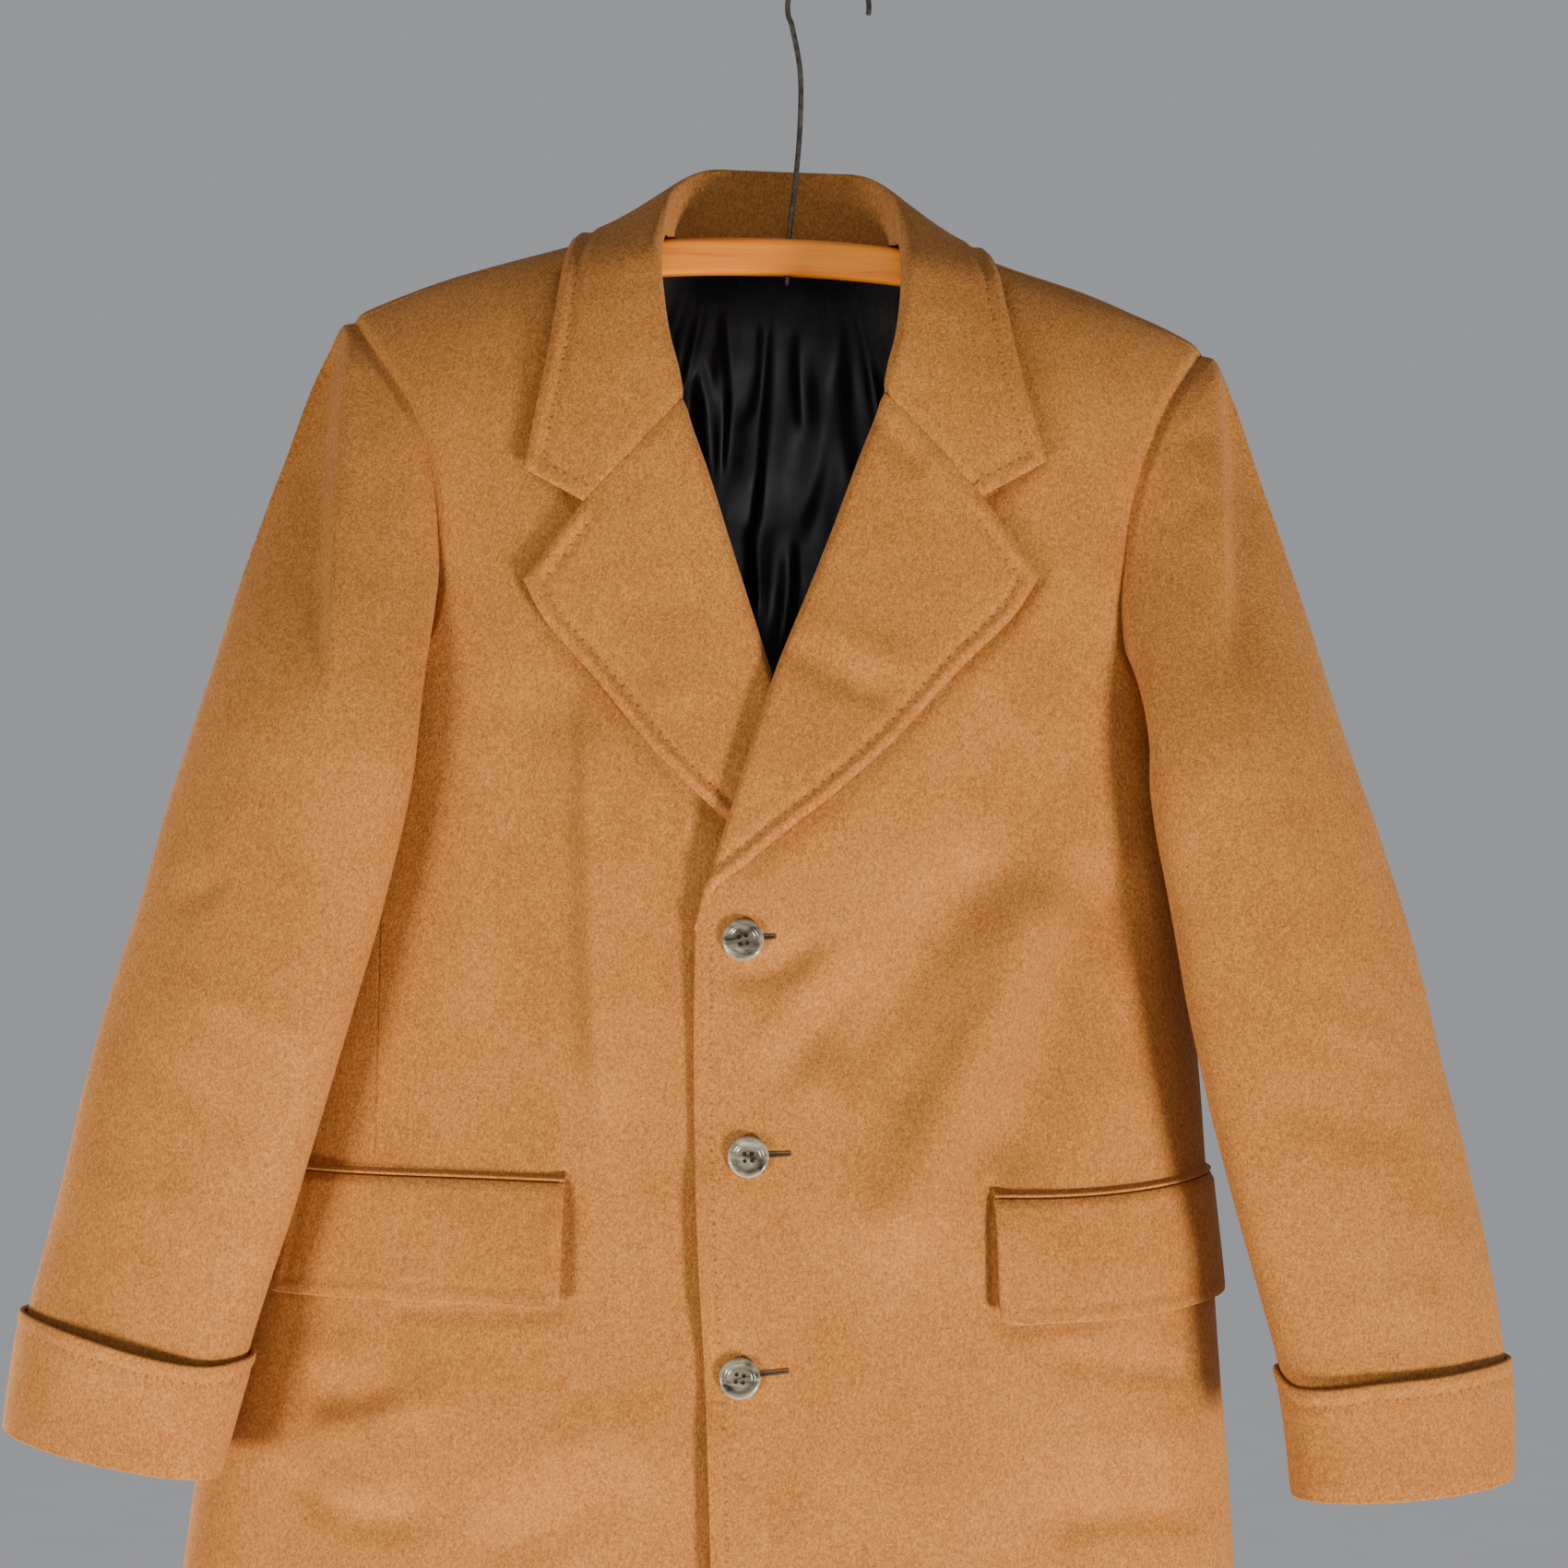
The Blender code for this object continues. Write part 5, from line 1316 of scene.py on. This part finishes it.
def liningDepth(across, share, x, z):
    form = liningForm
    (swayDown, swayAcross), (topWide, wider) = form["sway"], form["widen"]
    rise = np.zeros(len(across))
    for spot, drift, wide, height in form["folds"]:
        shift = spot + drift * np.sin(share * swayDown + spot * swayAcross)
        rise += height * bell(across - shift, wide * (topWide + wider * share))
    high, closerX, aside, closerZ = form["waver"]
    rise += form["slack"] + high * hungWaver(x * closerX + aside, z * closerZ)
    rise += creaseHeight(form["creases"], x, z)
    # the folds level off softly at their deepest, and the top edge lies flat
    soft, start = form["soft"]
    level = 0.5 + 0.5 * np.tanh(rise / (soft * form["deepest"]) - start)
    return form["deepest"] * level * ease(share * form["flatTop"])


def liningSurface():
    form = liningForm
    across = np.linspace(-1, 1, form["columns"] + 1)
    across = across * (0.5 + 0.5 * across**2)  # closer together in the open neck
    out = np.abs(across * form["topHalf"])
    drop, dropFrom, dropRun = form["slope"]
    turn = neckTurnAt(np.minimum(out, bodyForm["neckHalf"] - form["neckIn"])) - form["below"]
    tops = crest(out) - dropOf(turn - drop * ease((out - dropFrom) / dropRun))
    points, normals = [], []
    for share in form["shares"]:
        z = tops + (bodyForm["hem"] + form["hemAbove"] - tops) * share
        wider = armholeBack(z[0]) - form["fromArmhole"] - form["topHalf"]
        half = form["topHalf"] + wider * ease(share * form["reached"])
        edge = angleAt(left, half, z[0], 1) if z[0] > bodyForm["underarm"] else form["reach"]
        angles = 180 - across * edge
        place, normal = roundBody(left, angles, z), roundNormals(left, angles, z)
        x = place[:, 0]
        relief = foldHeight(backForm["folds"][left], x, z) + foldHeight(backForm["folds"][right], x, z)
        inset = relief - bodyForm["wall"] - form["clear"] - liningDepth(across, share, x, z)
        points.append(raised(place, normal, inset))
        normals.append(normal)
    return np.array(points), -np.array(normals)


points, normals = liningSurface()
# the satin faces the wearer, and its wall lies behind that face
mesh = meshOf("liningBack", gridOn(points + normals * liningForm["wall"], normals))
lining = linkPiece("liningBack", mesh, satinMaterial, "lining_satin", "lining_back")
finishCloth(lining, liningForm["wall"], liningForm["rounding"])
clothPieces["lining"] = lining
print("lining laid")


# Buttons, buttonholes and thread

buttonForm = {
    "places": ((-6.0, -569.0), (1.5, -691.0), (1.5, -815.0)), "turns": (12.0, 4.0, -6.0),
    "across": 23.5, "steps": 64, "clear": 0.3, "sharp": 50.0,
    # share of the radius, height
    "profile": (
        (0.0, 2.2), (0.40, 2.25), (0.56, 2.45), (0.65, 3.1), (0.72, 3.9), (0.79, 4.2), (0.87, 4.15),
        (0.94, 3.7),
        (0.985, 3.0), (1.0, 2.3), (0.985, 1.5), (0.93, 0.8), (0.70, 0.1), (0.0, 0.1),
    ),
    "hole": 2.3, "holeOut": 2.9, "holeDeep": 12.0, "threadTop": 1.7, "threadFoot": 0.8, "threadHead": 0.62,
}
slitForm = {
    "ends": ((11.5, -566.5), (24.5, -688.5), (28.0, -810.0)), "from": (-4.0, 0.3), "steps": 30,
    "wide": 1.9, "narrows": 0.35, "up": 0.12, "strips": (-1, -0.5, 0, 0.5, 1),
    "purl": (0.775, 0.45, 0.375), "purlOut": 0.6875, "purlUp": 0.18,
    "bar": 0.42, "bars": np.linspace(-1, 1, 6), "barPast": 0.5, "barOut": 1.1, "barUp": 0.25,
}


def addRod(shape, place, foot, head, deep, around):
    bmesh.ops.create_cone(shape, cap_ends=True, segments=around, radius1=foot * mm, radius2=head * mm,
                          depth=deep * mm, matrix=place)


def cutHoles(piece, cutter, sharp):
    punch = addObject("punch", meshOf("punch", cutter))
    piece.modifiers.new("holes", "BOOLEAN").object = punch
    bpy.context.view_layer.update()
    made = bpy.data.meshes.new_from_object(piece.evaluated_get(bpy.context.evaluated_depsgraph_get()))
    piece.modifiers.clear()
    piece.data = made
    bpy.data.objects.remove(punch)
    piece.data.set_sharp_from_angle(angle=math.radians(sharp))


def addButton(number, x, z, turn):
    form, radius = buttonForm, buttonForm["across"] / 2
    disc = bmesh.new()
    verts = [disc.verts.new((share * radius * mm, 0, up * mm)) for share, up in form["profile"]]
    edges = [disc.edges.new(pair) for pair in zip(verts, verts[1:])]
    bmesh.ops.spin(disc, geom=verts + edges, axis=(0, 0, 1), cent=(0, 0, 0), angle=math.tau,
                   steps=form["steps"], use_merge=True)
    bmesh.ops.remove_doubles(disc, verts=disc.verts, dist=0.01 * mm)
    bmesh.ops.recalc_face_normals(disc, faces=disc.faces)
    name, node = f"button{number}", f"button_{number}"
    piece = linkPiece(name, meshOf(name, disc), hornMaterial, "button_horn", node)
    punch, threads, wide = bmesh.new(), bmesh.new(), form["hole"] / 2
    for corner in range(4):
        way = math.radians(45 + 90 * corner)
        shift = Matrix.Translation(Vector((math.cos(way), math.sin(way), 0)) * form["holeOut"] * mm)
        addRod(punch, shift, wide, wide, form["holeDeep"], 20)
        # dark thread ends sunk in each hole; their near-black tone also paints the shade inside the holes
        fill = shift @ Matrix.Translation((0, 0, form["threadTop"] / 2 * mm))
        addRod(threads, fill, wide * form["threadFoot"], wide * form["threadHead"], form["threadTop"], 12)
    cutHoles(piece, punch, form["sharp"])
    spread = np.array([math.hypot(vert.co.x, vert.co.y) / (radius * mm) for vert in piece.data.vertices])
    setValues(piece.data, "fromCentre", spread)
    x, z = np.float64(x), np.float64(z)
    seat, up = onFront(left, x, z, form["clear"]), Vector(frontNormals(x, z))
    place = Matrix.Translation(toScene(seat)) @ up.to_track_quat("Z", "Y").to_matrix().to_4x4()
    place = place @ Matrix.Rotation(math.radians(turn), 4, "Z")
    piece.data.transform(place)
    thread = meshOf(f"buttonThread{number}", threads, smooth=False)
    thread.transform(place)
    linkPiece(f"buttonThread{number}", thread, darkThreadAndShade, "button_horn")


def addButtonhole(number, start, end):
    # a worked slit: its dark opening is a strip of painted shade between two rows of purled thread, closed by
    # a bar at its end
    form, count = slitForm, slitForm["steps"]
    x, z = np.linspace(start, end, count).T
    surface, up = onFront(left, x, z, np.zeros(count)), frontNormals(x, z)
    along = unit(np.gradient(surface, axis=0))
    beside = np.cross(up, along)
    gap = form["wide"] / 2 * np.linspace(1.0, form["narrows"], count)
    strip = np.stack([raised(surface, beside, gap * share) + up * form["up"] for share in form["strips"]])
    slitShade, purl = gridOn(strip, np.broadcast_to(up, strip.shape)), bmesh.new()
    for i in range(count):
        for share in (-1, 1):
            spot = surface[i] + beside[i] * share * (gap[i] + form["purlOut"]) + up[i] * form["purlUp"]
            addBead(purl, toScene(spot), (beside[i], along[i], up[i]), form["purl"], 7)
    for share in form["bars"]:
        spot = surface[-1] + along[-1] * form["barPast"] + beside[-1] * share * form["barOut"]
        spot = spot + up[-1] * form["barUp"]
        addBead(purl, toScene(spot), np.eye(3), (form["bar"],) * 3, 7)
    for word, shape, finish in (("SlitShade", slitShade, darkThreadAndShade), ("Purl", purl, holeThread)):
        name = f"buttonhole{word}{number}"
        linkPiece(name, meshOf(name, shape), finish, "coat_cloth")


fastenings = zip(buttonForm["places"], buttonForm["turns"], slitForm["ends"])
for number, ((x, z), turn, end) in enumerate(fastenings, 1):
    addButton(number, x, z, turn)
    addButtonhole(number, (x + slitForm["from"][0], z + slitForm["from"][1]), end)

bpy.context.view_layer.update()
for name, key in (("collar", "collar"), ("lapelLeft", ("lapel", left)), ("lapelRight", ("lapel", right)),
                  ("frontLeft", ("front", left))):
    pickStitches(name + "Picks", clothPieces[key], borders[key])
print("buttons and sewing made")


# Hanger

barForm = {
    "halfLength": 212.0, "high": 21.5, "thick": 12.0, "round": 3.6, "seat": 0.85, "rings": 120, "corner": 7,
    "neck": ((0, -160.0), (35, -160.9), (70, -163.5), (100, -168.0)), "restFrom": 125.0,
    "endRun": 14.0, "endSlim": 0.84, "lower": 0.22, "endDrop": 3.0, "taper": 4.0,
    "bore": 4.0, "boreDeep": 60.0, "stemX": 4.0, "sharp": 40.0,
}
hookForm = {
    "across": 3.2, "crookRadius": 24.0, "crookStart": 196.0, "crookEnd": -8.0, "crookPoints": 40,
    "stem": ((4.0, -187.5), (4.0, -160.0), (6.5, -127.0), (8.0, -94.0), (7.0, -62.0), (1.5, -36.0)),
    "stemPoints": 60,
}


def addBar():
    form, long = barForm, barForm["halfLength"]
    shoulders = np.linspace(form["restFrom"], long, 5)
    rest = crest(shoulders) - bodyForm["wall"] - form["seat"]
    top, = columnsOf((*form["neck"], *zip(shoulders, rest)))
    points = []
    for x in np.linspace(-long, long, form["rings"]):
        ending = max(0.0, abs(x) - long + form["endRun"]) / form["endRun"]
        slim = math.sqrt(max(1 - form["endSlim"], 1 - ending**2 * form["endSlim"]))
        tall = form["high"] * (1 - form["lower"] + form["lower"] * slim)
        tall = tall - form["taper"] * (abs(x) / long) ** 2
        crown, bend = float(top(abs(x))) - (1 - slim) * form["endDrop"], form["round"] * slim
        ring = []
        for acrossWay, upWay, first in ((1, 1, 0), (-1, 1, 90), (-1, -1, 180), (1, -1, 270)):
            turn = np.radians(np.linspace(first, first + 90, form["corner"]))
            y = acrossWay * (form["thick"] / 2 * slim - bend) + bend * np.cos(turn)
            ring.append(xyz(x, y, crown - tall / 2 + upWay * (tall / 2 - bend) + bend * np.sin(turn)))
        points.append(np.concatenate((*ring, ring[0][:1])))
    points = np.array(points)
    shape = gridOn(points, fromMiddle(points), around=True)
    bmesh.ops.holes_fill(shape, edges=[edge for edge in shape.edges if edge.is_boundary], sides=0)
    bmesh.ops.recalc_face_normals(shape, faces=shape.faces)
    bar = linkPiece("hangerBar", meshOf("hangerBar", shape), woodMaterial, "hanger_wood", "hanger_bar")
    bore, wide = bmesh.new(), form["bore"] / 2
    inside = np.array((form["stemX"], 0, form["neck"][0][1] - form["high"] / 2))
    addRod(bore, Matrix.Translation(toScene(inside)), wide, wide, form["boreDeep"], 24)
    cutHoles(bar, bore, form["sharp"])


def addHook():
    form, radius = hookForm, hookForm["crookRadius"]
    centre = np.array((-coatShift[0], form["across"] / 2 - radius))
    turns = np.radians(np.linspace(form["crookStart"], form["crookEnd"], form["crookPoints"]))
    crook = centre + radius * np.stack((np.cos(turns), np.sin(turns)), axis=1)
    stem = np.vstack((form["stem"], crook[:1]))
    stem = smoothThrough(np.arange(len(stem)), stem)(np.linspace(0, len(stem) - 1, form["stemPoints"]))
    path = np.vstack((stem, crook[1:]))
    wire = bpy.data.curves.new("hangerHook", "CURVE")
    wire.dimensions, wire.use_fill_caps = "3D", True
    wire.bevel_depth, wire.bevel_resolution = form["across"] / 2 * mm, 5
    line = wire.splines.new("POLY")
    line.points.add(len(path) - 1)
    for point, (x, z) in zip(line.points, path):
        point.co = (*toScene(np.array((x, 0, z))), 1)
    drawn = addObject("wire", wire)
    bpy.context.view_layer.update()
    mesh = bpy.data.meshes.new_from_object(drawn.evaluated_get(bpy.context.evaluated_depsgraph_get()))
    bpy.data.objects.remove(drawn)
    mesh.shade_smooth()
    mesh.materials.clear()
    linkPiece("hangerHook", mesh, wireMaterial, "hook_wire", "hanger_hook")


addBar()
addHook()
print("hanger made")


print("pieces made")


# Floor, light and camera

stageForm = {
    "floor": -3.5, "reach": 60.0, "floorTones": ((0.3, (0.97, 0.97, 0.97)), (0.7, (1.0, 1.0, 1.0))),
    "world": (0.775, 0.80, 0.845), "worldStrength": 0.42,
    # place, aim, size, power, colour
    "lights": (
        ("key", (2.2, -2.05, -2.7), (0.0, 0.0, -0.55), 0.6, 212.0, (1.0, 0.91, 0.77)),
        ("side", (-1.3, -1.2, -1.4), (-0.25, 0.0, -0.65), 0.5, 33.0, (1.0, 0.91, 0.77)),
        ("fill", (0.15, -2.3, 0.0), (0.0, 0.0, -0.35), 0.9, 3.2, (1.0, 0.95, 0.88)),
        ("top", (0.2, -0.9, 2.2), (0.0, 0.0, -0.4), 2.2, 0.5, (1.0, 0.99, 0.97)),
        ("back", (-1.55, 1.15, -1.2), (0.0, 0.05, -0.7), 0.6, 38.0, (1.0, 0.94, 0.84)),
    ),
    "camera": (-0.0085, -1.675, -0.481), "roll": -2.2, "lens": 65.2, "sensor": 36.0,
}
ground = bmesh.new()
bmesh.ops.create_circle(ground, cap_ends=True, segments=96, radius=stageForm["reach"],
                        matrix=Matrix.Translation((0, 0, stageForm["floor"])))
floor = addObject("floor", meshOf("floor", ground, smooth=False))
floorFinish, floorTree, floorShader = newFinish("paleFloor", {"Roughness": 0.85, "Specular IOR Level": 0.0})
feed(floorTree, floorShader, {
    "Base Color": blendTones(floorTree, fineGrain(floorTree, 3.0, 3.0), stageForm["floorTones"])})
floor.data.materials.append(floorFinish)

world = bpy.data.worlds.new("studio")
world.use_nodes = True
feed(world.node_tree, world.node_tree.nodes["Background"], {
    "Color": (*stageForm["world"], 1), "Strength": stageForm["worldStrength"]})
bpy.context.scene.world = world

for name, place, aim, size, power, colour in stageForm["lights"]:
    lamp = bpy.data.lights.new(name, "AREA")
    lamp.size, lamp.energy, lamp.color = size, power, colour
    light = addObject(name, lamp)
    light.location = place
    light.rotation_euler = (Vector(aim) - Vector(place)).to_track_quat("-Z", "Y").to_euler()

view = bpy.data.cameras.new("camera")
view.lens, view.sensor_width = stageForm["lens"], stageForm["sensor"]
camera = addObject("camera", view)
camera.location = stageForm["camera"]
camera.rotation_euler = (math.radians(90), math.radians(stageForm["roll"]), 0)
bpy.context.scene.camera = camera
print("stage set")
